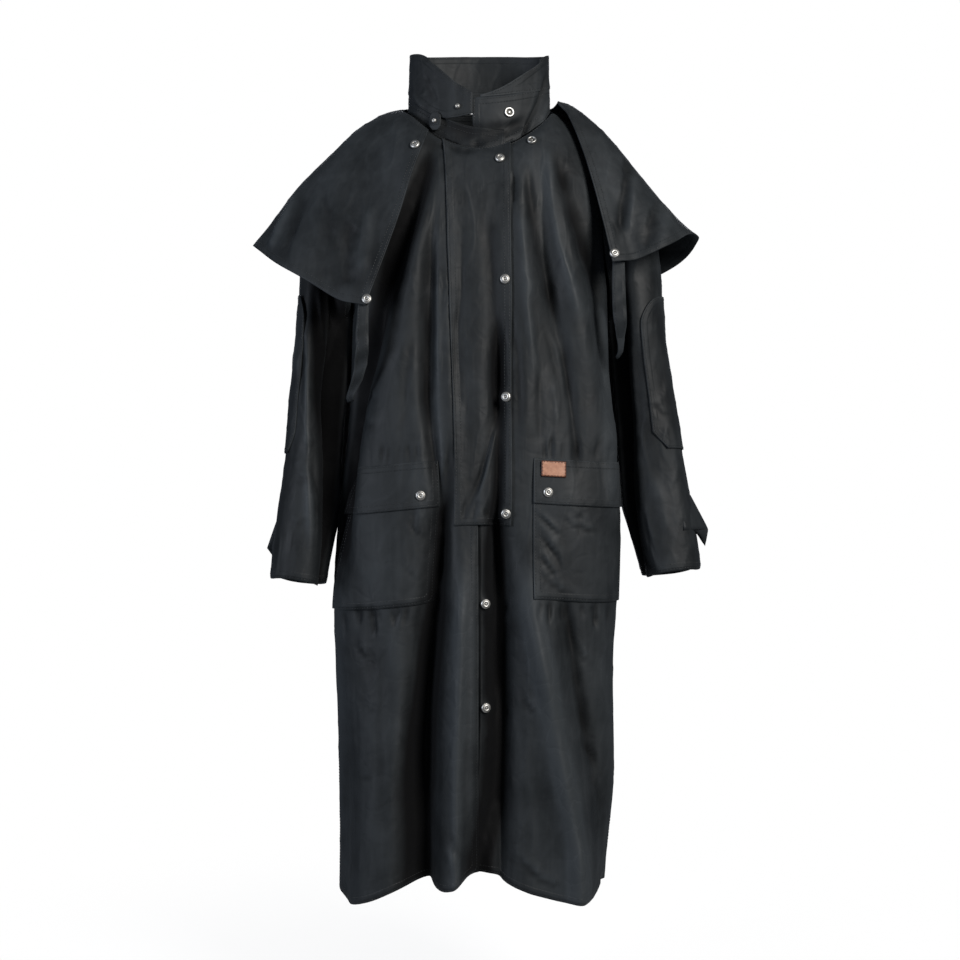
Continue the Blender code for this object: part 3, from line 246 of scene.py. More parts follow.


# %% [markdown]
# ## Creases
# Waxed cotton is stiff. It hangs in a few long folds from the shoulders, breaks into short diagonal
# crumples where it is pulled, and keeps both. Each row below is one of them, read off the photograph:
# how it shows, how deep and wide it is in millimetres, and the pixels it passes through.
# A trough sinks, a ridge rises, and a lap rises on its right and sinks on its left. Their depths
# fade at the ends and waver on the way, because no real fold is even. A row names a group of
# pieces, such as all that hang on the body, or a single piece.

# %% The creases of the front, in the photograph's pixels
FRONT_CREASES = (
    ("body", "trough", 28.0, 14, ((436, 130), (418, 187), (399, 240), (384, 290), (370, 340), (357, 390),
                                  (346, 450), (340, 520), (338, 600))),
    ("body", "ridge", 6.0, 8, ((600, 290), (605, 350), (608, 400), (611, 450), (612, 520))),
    ("body", "trough", 9.0, 9, ((430, 210), (427, 320), (426, 400), (431, 444), (437, 490), (442, 540))),
    ("body", "ridge", 3.5, 6, ((437, 210), (437, 320), (437, 400), (441, 450), (445, 490))),
    ("body", "trough", 6.0, 7, ((449, 440), (447, 500), (443, 540), (441, 590))),
    ("body", "trough", 4.0, 12, ((486, 205), (492, 270), (495, 330), (496, 420))),
    ("body", "trough", 15.0, 8, ((498, 310), (498, 360), (499, 440), (498, 480), (496, 530), (496, 620))),
    ("body", "lap", 5.0, 5, ((499, 410), (490, 449), (483, 476), (477, 494), (469, 509), (460, 528))),
    ("body", "ridge", 2.0, 7, ((482, 495), (479, 512), (474, 524))),
    ("body", "trough", 3.6, 6, ((461, 215), (460, 290), (456, 345), (459, 410))),
    ("body", "trough", 3.0, 5, ((513, 170), (512, 186), (513, 204))),
    ("body", "ridge", 3.0, 7, ((519, 204), (524, 250), (533, 306))),
    ("body", "trough", 6.5, 8, ((527, 160), (531, 200), (537, 240), (552, 300), (561, 345))),
    ("body", "ridge", 5.0, 8, ((545, 140), (550, 200), (557, 240), (572, 290), (584, 330))),
    ("body", "trough", 9.0, 10, ((557, 150), (569, 197), (582, 236), (596, 280), (606, 318))),
    ("body", "ridge", 3.0, 7, ((520, 250), (527, 300), (533, 350), (536, 400))),
    ("body", "lap", 2.0, 5, ((541, 316), (552, 342), (560, 374), (563, 400))),
    ("body", "trough", 5.0, 6, ((562, 330), (569, 384), (575, 431), (580, 478))),
    ("body", "trough", 1.6, 5, ((538, 372), (541, 410), (539, 447))),
    ("body", "ridge", 1.8, 5, ((552, 380), (556, 400), (556, 425))),
    ("body", "trough", 2.2, 6, ((516, 330), (520, 380), (519, 440))),
    ("body", "trough", 9.0, 8, ((441, 500), (441, 545), (439, 590), (436, 630))),
    ("body", "trough", 27.0, 19, ((440, 490), (438, 560), (435, 611), (427, 680), (420, 740), (417, 800),
                                  (417, 1060))),
    ("body", "ridge", 7.0, 10, ((466, 530), (462, 620), (459, 700), (456, 780), (456, 980))),
    ("body", "trough", 24.0, 15, ((498, 470), (495, 560), (495, 620), (496, 740), (493, 800), (479, 860),
                                  (470, 1040))),
    ("body", "ridge", 13.0, 15, ((526, 560), (532, 620), (545, 680), (556, 740), (568, 800), (577, 850),
                                 (582, 1000))),
    ("body", "trough", 7.0, 7, ((560, 590), (569, 620), (577, 680), (588, 740), (602, 790))),
    ("left_front", "trough", 6.0, 4, ((477, 500), (478, 600), (477, 700), (476, 760), (476, 900))),
    ("right_front", "ridge", 2.5, 6, ((473, 520), (473, 600), (472, 700), (471, 760), (471, 900))),
    ("body", "lap", 3.4, 5, ((577, 733), (586, 742), (596, 755), (600, 772))),
    ("body", "trough", 1.8, 5, ((588, 770), (598, 790), (603, 812))),
    ("body", "lap", 4.2, 5, ((497, 853), (521, 859), (540, 877), (552, 884), (573, 882))),
    ("body", "ridge", 2.2, 5, ((474, 824), (480, 838), (487, 850))),
    ("body", "trough", 2.4, 5, ((450, 836), (456, 850), (463, 862))),
    ("body", "ridge", 2.4, 6, ((446, 846), (451, 858), (452, 872))),
    ("body", "lap", 1.6, 5, ((357, 772), (366, 776), (376, 770))),
    ("body", "trough", 2.0, 7, ((350, 740), (346, 775), (344, 815))),
    ("body", "trough", 1.8, 8, ((371, 600), (372, 640), (369, 690))),
    ("body", "ridge", 2.0, 12, ((395, 610), (400, 700), (397, 790))),
    ("body", "trough", 2.0, 10, ((383, 640), (380, 740), (383, 850))),
    ("body", "lap", 3.6, 4, ((532, 509), (546, 520), (557, 531), (566, 536))),
    ("body", "lap", 3.4, 4, ((534, 528), (547, 541), (559, 556), (564, 574))),
    ("body", "lap", 3.2, 4, ((533, 549), (545, 560), (555, 573), (558, 584))),
    ("body", "ridge", 1.6, 4, ((536, 520), (550, 533), (560, 546))),
    ("body", "trough", 1.6, 4, ((579, 512), (581, 526), (579, 538))),
    ("body", "lap", 1.4, 4, ((536, 603), (556, 606), (572, 612))),
    ("body", "ridge", 1.6, 6, ((418, 498), (421, 514), (418, 530))),
    ("body", "trough", 1.4, 5, ((414, 505), (413, 520), (415, 540))),
    ("body", "lap", 1.4, 4, ((436, 545), (428, 556), (430, 570))),
    ("body", "lap", 1.4, 4, ((404, 604), (415, 600), (428, 596))),
    ("body", "lap", 2.0, 3, ((541, 452), (549, 443), (553, 430))),
    ("body", "lap", 2.8, 3.5, ((560, 512), (572, 523), (590, 529), (606, 527))),
    ("body", "lap", 3.0, 4, ((536, 566), (548, 580), (564, 590), (584, 594))),
    ("body", "lap", 1.6, 3, ((406, 516), (416, 530), (430, 538))),
    ("body", "lap", 1.6, 3, ((398, 560), (412, 572), (430, 578))),
    ("body", "lap", 1.6, 3, ((484, 560), (489, 575), (497, 588))),
    ("body", "lap", 3.0, 4, ((481, 640), (491, 652), (499, 660))),
    ("body", "lap", 3.2, 4, ((480, 730), (490, 742), (499, 748))),
    ("body", "lap", 3.0, 5, ((520, 690), (528, 704), (541, 716))),
    ("body", "lap", 3.0, 5, ((574, 640), (584, 656), (597, 664))),
    ("body", "lap", 2.6, 5, ((352, 640), (364, 652), (380, 656))),
    ("body", "lap", 1.6, 4, ((360, 700), (372, 708), (388, 704))),
    ("body", "trough", 1.4, 4, ((395, 598), (397, 612), (395, 630))),
    ("body", "trough", 2.2, 9, ((402, 250), (398, 300), (392, 360))),
    ("body", "trough", 1.8, 7, ((412, 330), (406, 380), (404, 440))),
    ("body", "lap", 1.8, 5, ((362, 380), (372, 396), (384, 404))),
    ("body", "lap", 1.6, 5, ((358, 412), (370, 424), (383, 430))),
    ("sleeve", "trough", 42.0, 25, ((334, 180), (336, 330), (340, 430), (342, 520), (336, 700))),
    ("sleeve", "ridge", 5.0, 6, ((303, 300), (307, 360), (307, 430), (309, 500), (312, 560))),
    ("sleeve", "ridge", 6.0, 6, ((316, 280), (322, 320), (326, 345), (331, 372))),
    ("sleeve", "trough", 5.0, 6, ((311, 285), (315, 330), (319, 370), (321, 430))),
    ("sleeve", "trough", 3.0, 8, ((306, 440), (311, 470), (318, 495))),
    ("sleeve", "trough", 32.0, 18, ((616, 200), (616, 330), (616, 430), (619, 520), (630, 640))),
    ("sleeve", "lap", 2.2, 5, ((290, 470), (302, 478), (318, 474))),
    ("sleeve", "lap", 1.8, 5, ((284, 515), (296, 522), (312, 514))),
    ("sleeve", "ridge", 1.8, 6, ((296, 300), (298, 340), (296, 384))),
    ("sleeve", "trough", 1.6, 5, ((301, 330), (303, 360), (301, 395))),
    ("sleeve", "lap", 2.0, 5, ((641, 500), (646, 520), (652, 541), (662, 556))),
    ("sleeve", "trough", 3.4, 6, ((637, 538), (644, 556), (655, 569), (672, 574))),
    ("sleeve", "ridge", 2.6, 8, ((650, 470), (661, 500), (668, 530))),
    ("sleeve", "trough", 2.0, 7, ((636, 330), (639, 380), (640, 440))),
    ("sleeve", "lap", 1.8, 5, ((660, 345), (668, 372), (664, 400))),
    ("sleeve", "lap", 1.6, 5, ((652, 400), (664, 414), (678, 410))),
    ("cape", "ridge", 5.0, 5, ((297, 190), (289, 208), (280, 228), (268, 254))),
    ("cape", "trough", 3.5, 6, ((304, 196), (298, 214), (290, 236), (280, 262))),
    ("cape", "trough", 2.0, 8, ((322, 180), (327, 210), (329, 244))),
    ("cape", "trough", 3.0, 10, ((350, 220), (347, 255), (350, 290))),
    ("cape", "ridge", 2.4, 9, ((372, 200), (364, 240), (362, 280))),
    ("cape", "lap", 1.4, 6, ((338, 214), (352, 222), (362, 240))),
    ("cape", "trough", 5.5, 7, ((627, 150), (627, 175), (625, 200), (618, 240))),
    ("cape", "ridge", 3.4, 6, ((634, 172), (631, 200), (626, 236))),
    ("cape", "trough", 3.0, 7, ((657, 196), (652, 220), (646, 250))),
    ("cape", "ridge", 2.2, 7, ((668, 206), (664, 228), (658, 250))),
    ("cape", "lap", 1.6, 5, ((612, 216), (618, 230), (622, 246))),
    ("collar", "trough", 5.0, 3, ((551, 66), (545, 84), (541, 97), (530, 123), (522, 142), (514, 156))),
    ("collar", "ridge", 2.4, 4, ((560, 76), (552, 95), (543, 118), (536, 140))),
    ("collar", "lap", 1.4, 4, ((436, 60), (452, 76), (470, 92))),
    ("collar", "ridge", 1.8, 3, ((413, 92), (417, 99), (423, 105))),
    ("collar_stand", "trough", 6.5, 10, ((415, 112), (440, 122), (462, 129), (486, 132), (512, 128),
                                         (535, 118))),
    ("collar_stand", "trough", 9.0, 4, ((436, 139), (450, 144), (468, 146), (486, 142))),
    ("storm_flap", "trough", 9.0, 5, ((436, 141), (450, 147), (468, 149), (484, 145), (496, 139))),
    ("right_front", "trough", 9.0, 5, ((436, 141), (450, 147), (468, 149), (484, 145), (496, 139))),
    ("collar", "trough", 1.2, 4, ((424, 74), (430, 90), (438, 104))),
    ("collar_stand", "trough", 3.4, 9, ((412, 116), (428, 128), (452, 139), (482, 143), (506, 138))),
)
# %% [markdown]
# The photograph doesn't show the back, so its folds are guessed from the same habits: long soft
# ones from the shoulder blades to the hem, a few short crumples at the elbows and the waist. Their
# pixels are those of a picture taken from behind.

# %% The creases of the back
BACK_CREASES = (
    ("body", "trough", 5.0, 14, ((431, 330), (428, 430), (430, 560), (422, 700), (414, 872))),
    ("body", "ridge", 4.5, 16, ((455, 300), (458, 420), (452, 560), (448, 720), (440, 876))),
    ("body", "trough", 5.5, 13, ((484, 380), (487, 500), (482, 640), (479, 760), (474, 880))),
    ("body", "ridge", 4.0, 15, ((516, 320), (514, 450), (520, 600), (526, 740), (530, 870))),
    ("body", "trough", 5.0, 12, ((541, 360), (544, 480), (551, 610), (559, 740), (566, 868))),
    ("body", "trough", 3.4, 12, ((386, 420), (380, 540), (372, 680), (366, 830))),
    ("body", "ridge", 3.0, 12, ((583, 400), (590, 520), (594, 680), (600, 820))),
    ("body", "lap", 2.4, 6, ((372, 420), (396, 436), (420, 438))),
    ("body", "lap", 2.0, 6, ((596, 432), (572, 446), (552, 444))),
    ("body", "lap", 1.8, 6, ((470, 452), (488, 462), (508, 458))),
    ("body", "trough", 2.0, 7, ((498, 770), (503, 810), (501, 868))),
    ("body", "lap", 2.0, 6, ((405, 800), (420, 812), (441, 808))),
    ("sleeve", "lap", 3.0, 6, ((262, 380), (276, 392), (296, 388))),
    ("sleeve", "lap", 2.6, 6, ((264, 408), (280, 418), (300, 410))),
    ("sleeve", "trough", 2.6, 8, ((286, 300), (281, 340), (284, 390))),
    ("sleeve", "trough", 2.4, 8, ((278, 440), (272, 480), (276, 540))),
    ("sleeve", "lap", 3.0, 6, ((664, 384), (680, 394), (696, 384))),
    ("sleeve", "lap", 2.4, 6, ((662, 420), (678, 428), (696, 420))),
    ("sleeve", "trough", 2.6, 8, ((672, 300), (678, 350), (676, 400))),
    ("sleeve", "ridge", 2.2, 8, ((684, 450), (690, 500), (688, 550))),
    ("cape", "trough", 4.5, 11, ((402, 130), (394, 180), (386, 236))),
    ("cape", "ridge", 3.5, 11, ((430, 130), (428, 190), (424, 250))),
    ("cape", "trough", 4.0, 11, ((556, 130), (566, 180), (574, 236))),
    ("cape", "ridge", 3.5, 11, ((528, 136), (532, 190), (536, 250))),
    ("cape", "trough", 3.0, 10, ((340, 150), (326, 190), (312, 232))),
    ("cape", "trough", 3.0, 10, ((620, 150), (634, 190), (648, 232))),
    ("collar", "lap", 1.0, 6, ((440, 92), (470, 98), (500, 94))),
)
# Stitching gathers the cloth: from, to, rise or fall of each pucker in pixels, and how deep
SEWN_LINES = (
    ((338, 609), (434, 608), 21, 3.6),
    ((538, 602), (612, 604), 19, 4.0),
    ((354, 463), (434, 460), -14, 2.2),
    ((538, 458), (612, 460), -16, 2.6),
    ((460, 519), (506, 517), -18, 3.0),
    ((447, 160), (447, 330), 12, 1.6),
)



def puckers():
    draw = np.random.default_rng(7)
    rows = []
    for (u1, v1), (u2, v2), reach, depth in SEWN_LINES:
        count = int(math.hypot(u2 - u1, v2 - v1) / 9)
        for k in range(count):
            share = (k + draw.uniform(0.1, 0.9)) / count
            u, v = u1 + (u2 - u1) * share, v1 + (v2 - v1) * share
            long = reach * draw.uniform(0.5, 1.3)
            lean = draw.uniform(-5, 5)
            end = (u + lean, v + long) if abs(u2 - u1) > abs(v2 - v1) else (u + abs(long), v + lean)
            middle = ((u + end[0]) / 2 + draw.uniform(-1, 1), (v + end[1]) / 2)
            rows.append(("body", "trough", depth * draw.uniform(0.5, 1.2), 3.4, ((u, v), middle, end)))
    return tuple(rows)


FRONT_CREASES = FRONT_CREASES + puckers()
print("creases", len(FRONT_CREASES), "in front and", len(BACK_CREASES), "behind")


# %% Move cloth by its creases
CREASE_PIXEL = 1.47  # millimetres that a pixel covers on the front of the coat


def along_path(u, v, path):
    """Signed distance in millimetres from a path, right of it positive, and the share along it."""
    path = np.array(path, float)
    lengths = np.linalg.norm(np.diff(path, axis=0), axis=1)
    starts = np.concatenate([[0], np.cumsum(lengths)])
    best = np.full(len(u), 1e9)
    side = np.zeros(len(u))
    share = np.zeros(len(u))
    for a, b, length, start in zip(path, path[1:], lengths, starts):
        way = (b - a) / length
        t = np.clip((u - a[0]) * way[0] + (v - a[1]) * way[1], 0, length)
        du, dv = u - a[0] - t * way[0], v - a[1] - t * way[1]
        away = np.hypot(du, dv)
        closer = away < best
        best = np.where(closer, away, best)
        side = np.where(closer, np.sign(du * -way[1] + dv * way[0]) * -1, side)
        share = np.where(closer, (start + t) / starts[-1], share)
    return best * side * CREASE_PIXEL, share


def crease_height(group, name, points, ways):
    """How far the creases of a group of pieces, or of one piece alone, lift each point, in metres."""
    total = np.zeros(len(points))
    for table, behind in ((FRONT_CREASES, False), (BACK_CREASES, True)):
        facing = seam(ways[:, 1] if behind else -ways[:, 1], 0.08, 0.45)
        u, v = in_picture(points, behind)
        for number, (member, shape, depth, width, path) in enumerate(table):
            if member not in (group, name):
                continue
            reach = 3.2 * width / CREASE_PIXEL
            low, high = np.min(path, axis=0) - reach, np.max(path, axis=0) + reach
            near = (u > low[0]) & (u < high[0]) & (v > low[1]) & (v < high[1]) & (facing > 0)
            if not near.any():
                continue
            s, share = along_path(u[near], v[near], path)
            end = 0.5 if shape == "lap" else 0.22
            fade = seam(share, -0.02, end) * (1 - seam(share, 1 - end, 1.02))
            waver = 1 + 0.22 * np.sin(share * 11 + number) + 0.12 * np.sin(share * 29 + 2 * number)
            wide = width * (1 + 0.15 * np.sin(share * 7 + 3 * number))
            bell = np.exp(-((s / wide) ** 2))
            if shape == "lap":
                bell = s / wide * 1.6 * bell
            sign = -1 if shape == "trough" else 1
            total[near] += sign * depth / 1000 * bell * fade * waver * facing[near]
    return total


def rumple(points, size, seed, count=16):
    """Smooth uneven waves from about -1 to 1 that change over size, in metres along each axis."""
    draw = np.random.default_rng(seed)
    ways = unit(draw.normal(size=(count, 3))) * draw.uniform(0.55, 1.7, (count, 1))
    waves = (points / np.array(size)) @ ways.T * 2 * math.pi + draw.uniform(0, 2 * math.pi, count)
    return np.sin(waves).sum(axis=1) / math.sqrt(count / 2)


def cloth_height(group, name, points, ways, strength):
    """Creases, soft waves and the small sharp crumples that waxed cloth keeps."""
    soft = rumple(points, (0.11, 0.11, 0.40), 11) * 0.0009
    sharp = 1 - np.abs(rumple(points, (0.07, 0.07, 0.13), 23))
    bend = 1 - np.abs(rumple(points, (0.04, 0.04, 0.06), 37))
    crumple = seam(sharp, 0.55, 1.0) * 0.0006 + seam(bend, 0.70, 1.0) * 0.0004 - 0.0003
    return crease_height(group, name, points, ways) + (soft + crumple) * strength


# %% [markdown]
# ## Finishes
# Every colour is written as the sRGB hex value that a colour picker would show, and one function
# turns it to the linear values that Blender's shaders take. One more function adds a node with its
# settings and its links. Where a link names a whole node, it starts at that node's first output.

# %% Helpers for colours and nodes
def colour(code):
    """Linear colour of an sRGB hex value."""
    parts = [int(code[k:k + 2], 16) / 255 for k in (1, 3, 5)]
    return (*[p / 12.92 if p <= 0.04045 else ((p + 0.055) / 1.055) ** 2.4 for p in parts], 1.0)


def join(tree, made, inputs):
    """Gives a node its inputs: each is a number, a colour, a socket, or a node for its first output."""
    for name, value in inputs.items():
        if isinstance(value, bpy.types.Node):
            value = next(socket for socket in value.outputs if socket.enabled)
        if isinstance(value, bpy.types.NodeSocket):
            tree.links.new(value, made.inputs[name])
        else:
            made.inputs[name].default_value = value


def node(tree, kind, inputs=None, **settings):
    """Adds a node with its settings and its links."""
    made = tree.nodes.new(kind)
    for name, value in settings.items():
        setattr(made, name, value)
    join(tree, made, inputs or {})
    return made


def with_stops(made, *stops):
    """Gives a colour ramp its (place, hex) stops."""
    band = made.color_ramp
    while len(band.elements) < len(stops):
        band.elements.new(0.5)
    for element, (place, code) in zip(band.elements, stops):
        element.position = place
        element.color = colour(code)
    return made


def blank(name):
    """A new material with only its shader and its output."""
    made = bpy.data.materials.new(name)
    made.use_nodes = True
    made.node_tree.nodes.clear()
    shader = node(made.node_tree, "ShaderNodeBsdfPrincipled")
    node(made.node_tree, "ShaderNodeOutputMaterial", {"Surface": shader})
    return made, made.node_tree, shader


# %% [markdown]
# The cloth is tightly woven cotton soaked in wax. Wax darkens it almost to black, gives it a dull
# sheen that changes from patch to patch, and cracks to a paler grey where the cloth is bent sharply
# or rubbed, along edges and on the crowns of folds. On top of that, the colour carries painted shade,
# near black deep in the folds, and a painted highlight on their crowns. Three numbers stored on the
# mesh guide this: how far a point lies from its piece's edge, how high its crease lifts it, and where
# on the cut cloth it lies. The weave's threads are 0.5 mm apart on the real cloth. That is too fine
# to show, so it is drawn 2.2 mm apart.

# %% Waxed cotton
THREAD_GAP = 0.0022  # metres from thread to thread, as drawn
SEAM_ROWS = (0.0030, 0.0100)  # metres from the edge to the two rows of a seam's stitches
GROOVE_REACH = 0.0011  # metres from a row of stitches to the end of its groove
SMOOTH = {"interpolation_type": "SMOOTHSTEP"}


def waxed_cotton(name, dark, pale_patch_and_painted_highlight, worn, roughness, sheen):
    made, tree, shader = blank(name)
    place = node(tree, "ShaderNodeTexCoord").outputs["Object"]
    edge = node(tree, "ShaderNodeAttribute", attribute_name="edge").outputs["Fac"]
    lift = node(tree, "ShaderNodeAttribute", attribute_name="lift").outputs["Fac"]
    patches = node(tree, "ShaderNodeTexNoise", {
        "Vector": place, "Scale": 14.0, "Detail": 4.0, "Roughness": 0.6,
    })
    drawn = node(tree, "ShaderNodeMapping", {"Vector": place, "Scale": (60.0, 60.0, 9.0)})
    streaks = node(tree, "ShaderNodeTexNoise", {"Vector": drawn, "Scale": 1.0, "Detail": 3.0})
    drift = node(tree, "ShaderNodeTexNoise", {"Vector": place, "Scale": 30.0}).outputs["Color"]
    drift = node(tree, "ShaderNodeVectorMath", {0: drift, 1: (0.03, 0.03, 0.03)}, operation="MULTIPLY")
    astray = node(tree, "ShaderNodeVectorMath", {0: place, 1: drift}, operation="ADD")
    cracks = node(tree, "ShaderNodeTexVoronoi", {"Vector": astray, "Scale": 26.0}, feature="DISTANCE_TO_EDGE")

    # How much a point has of each thing: what tells it, and that value where there is none and all
    has = {}
    for label, value, none, whole in (
        # The first two paint shade deep in the folds and a highlight on their crowns
        ("clear of painted fold shade", lift, -0.0125, -0.0010),
        ("painted crown highlight", lift, -0.0030, 0.0060),
        ("streak", streaks, 0.42, 0.75),
        ("turned edge", edge, 0.0028, 0.0002),
        ("rubbed patch", patches, 0.35, 0.62),
        ("crack", cracks, 0.035, 0.0),
        ("plate", cracks, 0.0, 0.20),
        ("seam band", edge, SEAM_ROWS[1] + 0.0012, SEAM_ROWS[1]),
        ("seam side", edge, 0.024, 0.009),
    ):
        has[label] = node(tree, "ShaderNodeMapRange", {
            "Value": value, "From Min": none, "From Max": whole,
        }, **SMOOTH)

    # The colour: pale patches, a painted highlight on the crowns of folds, painted shade near black deep in
    # them, grey where it is worn
    mottled = node(tree, "ShaderNodeMath", {0: patches, 1: 0.50}, operation="MULTIPLY")
    tone = node(tree, "ShaderNodeMath", {0: has["painted crown highlight"], 1: 0.50, 2: mottled}, operation="MULTIPLY_ADD")
    # Painted shade: the colour sinks to near black where a crease sinks the cloth deepest
    depth = node(tree, "ShaderNodeMath", {0: has["clear of painted fold shade"], 1: 0.92, 2: 0.08}, operation="MULTIPLY_ADD")
    tone = node(tree, "ShaderNodeMath", {0: tone, 1: depth}, operation="MULTIPLY")
    cloth = node(tree, "ShaderNodeValToRGB", {"Fac": tone})
    # The darkest stop is the painted shade of deep folds, the lightest is pale patches under the painted
    # highlight
    with_stops(cloth, (0.03, "#010102"), (0.28, dark), (0.70, pale_patch_and_painted_highlight))
    pale = node(tree, "ShaderNodeMapRange", {"Value": tone, "From Min": 0.4, "From Max": 0.8}, **SMOOTH)
    has["rubbed"] = node(tree, "ShaderNodeMath", {
        0: has["turned edge"], 1: has["rubbed patch"],
    }, operation="MULTIPLY")
    has["pale crack"] = node(tree, "ShaderNodeMath", {0: has["crack"], 1: pale}, operation="MULTIPLY")
    wear = 0.0
    for label, share in (("rubbed", 0.14), ("pale crack", 0.08), ("streak", 0.07)):
        wear = node(tree, "ShaderNodeMath", {0: has[label], 1: share, 2: wear}, operation="MULTIPLY_ADD")
    # Wear fades out in the painted shade of the folds
    wear = node(tree, "ShaderNodeMath", {0: wear, 1: has["clear of painted fold shade"]}, operation="MULTIPLY")
    shown = node(tree, "ShaderNodeMix", {"Factor": wear, "A": cloth, "B": colour(worn)}, data_type="RGBA")

    # The sheen changes from patch to patch and is duller in the folds
    patchy = node(tree, "ShaderNodeMapRange", {
        "Value": patches, "From Min": 0.3, "From Max": 0.7,
        "To Min": roughness - 0.07, "To Max": roughness + 0.09,
    }, **SMOOTH)
    folded = node(tree, "ShaderNodeMapRange", {
        "Value": lift, "From Min": -0.002, "From Max": -0.010, "To Max": 0.22,
    }, **SMOOTH)
    rough = node(tree, "ShaderNodeMath", {0: patchy, 1: folded}, operation="ADD")

    # The surface: the weave, then cracks and small grain, then the seam
    cut = node(tree, "ShaderNodeSeparateXYZ", {"Vector": node(tree, "ShaderNodeUVMap", uv_map="cut")})
    threads = []
    for way in ("X", "Y"):
        turn = {0: cut.outputs[way], 1: 2 * math.pi / THREAD_GAP}
        turn = node(tree, "ShaderNodeMath", turn, operation="MULTIPLY")
        threads.append(node(tree, "ShaderNodeMath", {0: turn}, operation="SINE"))
    woven = node(tree, "ShaderNodeMath", dict(enumerate(threads)), operation="MULTIPLY")
    weave = node(tree, "ShaderNodeBump", {"Height": woven, "Strength": 0.05, "Distance": 0.0002})
    small = node(tree, "ShaderNodeTexNoise", {"Vector": place, "Scale": 120.0, "Detail": 3.0})
    grain = node(tree, "ShaderNodeMath", {0: small, 1: 0.35, 2: has["plate"]}, operation="MULTIPLY_ADD")
    bent = node(tree, "ShaderNodeBump", {
        "Height": grain, "Strength": 0.24, "Distance": 0.0009, "Normal": weave,
    })
    # A seam is a flat band between its two rows of stitches, and the cloth puckers beside it
    groove = 1.0
    for row in SEAM_ROWS:
        off = node(tree, "ShaderNodeMath", {0: edge, 1: row}, operation="SUBTRACT")
        off = node(tree, "ShaderNodeMath", {0: off}, operation="ABSOLUTE")
        off = node(tree, "ShaderNodeMapRange", {"Value": off, "From Max": GROOVE_REACH}, **SMOOTH)
        groove = node(tree, "ShaderNodeMath", {0: off, 1: groove}, operation="MULTIPLY")
    waves = node(tree, "ShaderNodeTexNoise", {"Vector": place, "Scale": 75.0, "Detail": 1.0})
    pucker = node(tree, "ShaderNodeMath", {0: has["seam side"], 1: waves}, operation="MULTIPLY")
    sewn = node(tree, "ShaderNodeMath", {0: groove, 1: 0.45, 2: has["seam band"]}, operation="MULTIPLY_ADD")
    sewn = node(tree, "ShaderNodeMath", {0: pucker, 1: 1.5, 2: sewn}, operation="MULTIPLY_ADD")
    seamed = node(tree, "ShaderNodeBump", {
        "Height": sewn, "Strength": 0.55, "Distance": 0.0010, "Normal": bent,
    })
    join(tree, shader, {
        "Base Color": shown, "Roughness": rough, "Normal": seamed,
        "Sheen Weight": sheen, "Sheen Roughness": 0.45, "Sheen Tint": colour("#9AA4AE"),
        "Specular IOR Level": 0.22,
    })
    return made


# Colours: the cloth's own dark, its pale patches with the painted highlight of crowns, and worn grey
OILSKIN = waxed_cotton("waxed cotton, black", "#1A1D1F", "#313538", "#585C5F", 0.60, 0.06)
LINING = waxed_cotton("waxed cotton, unwaxed side", "#0A0D14", "#1A202B", "#2A313C", 0.78, 0.04)
print("materials", len(bpy.data.materials))

# %% [markdown]
# The thread is polyester, a little smoother than the cloth and so a little brighter. The snaps are
# brass plated with antique nickel, dull in their hollows and bright where fingers rub them. The
# small patch on the pocket flap is bare vegetable-tanned leather.

# %% Thread, nickel and leather
def thread_finish():
    made, tree, shader = blank("polyester thread, black")
    place = node(tree, "ShaderNodeTexCoord").outputs["Object"]
    grain = node(tree, "ShaderNodeTexNoise", {"Vector": place, "Scale": 300.0})
    tone = with_stops(node(tree, "ShaderNodeValToRGB", {"Fac": grain}), (0.3, "#0E1011"), (0.7, "#232628"))
    join(tree, shader, {"Base Color": tone, "Roughness": 0.5, "Sheen Weight": 0.1})
    return made


def nickel_finish():
    made, tree, shader = blank("antique nickel, stamped")
    place = node(tree, "ShaderNodeTexCoord").outputs["Object"]
    hollow = node(tree, "ShaderNodeAttribute", attribute_name="hollow").outputs["Fac"]
    tarnish = node(tree, "ShaderNodeTexNoise", {"Vector": place, "Scale": 420.0, "Detail": 4.0})
    dull = node(tree, "ShaderNodeMath", {0: tarnish, 1: 0.35}, operation="MULTIPLY")
    dull = node(tree, "ShaderNodeMath", {0: hollow, 1: 0.75, 2: dull}, operation="MULTIPLY_ADD")
    tone = node(tree, "ShaderNodeValToRGB", {"Fac": dull})
    with_stops(tone, (0.15, "#DAD9D5"), (0.5, "#B0AEA9"), (0.9, "#6A6863"))
    rough = node(tree, "ShaderNodeMapRange", {
        "Value": dull, "From Min": 0.1, "From Max": 0.9, "To Min": 0.42, "To Max": 0.62,
    }, **SMOOTH)
    scratches = node(tree, "ShaderNodeBump", {"Height": tarnish, "Strength": 0.25, "Distance": 0.0002})
    join(tree, shader, {"Base Color": tone, "Roughness": rough, "Metallic": 1.0, "Normal": scratches})
    return made


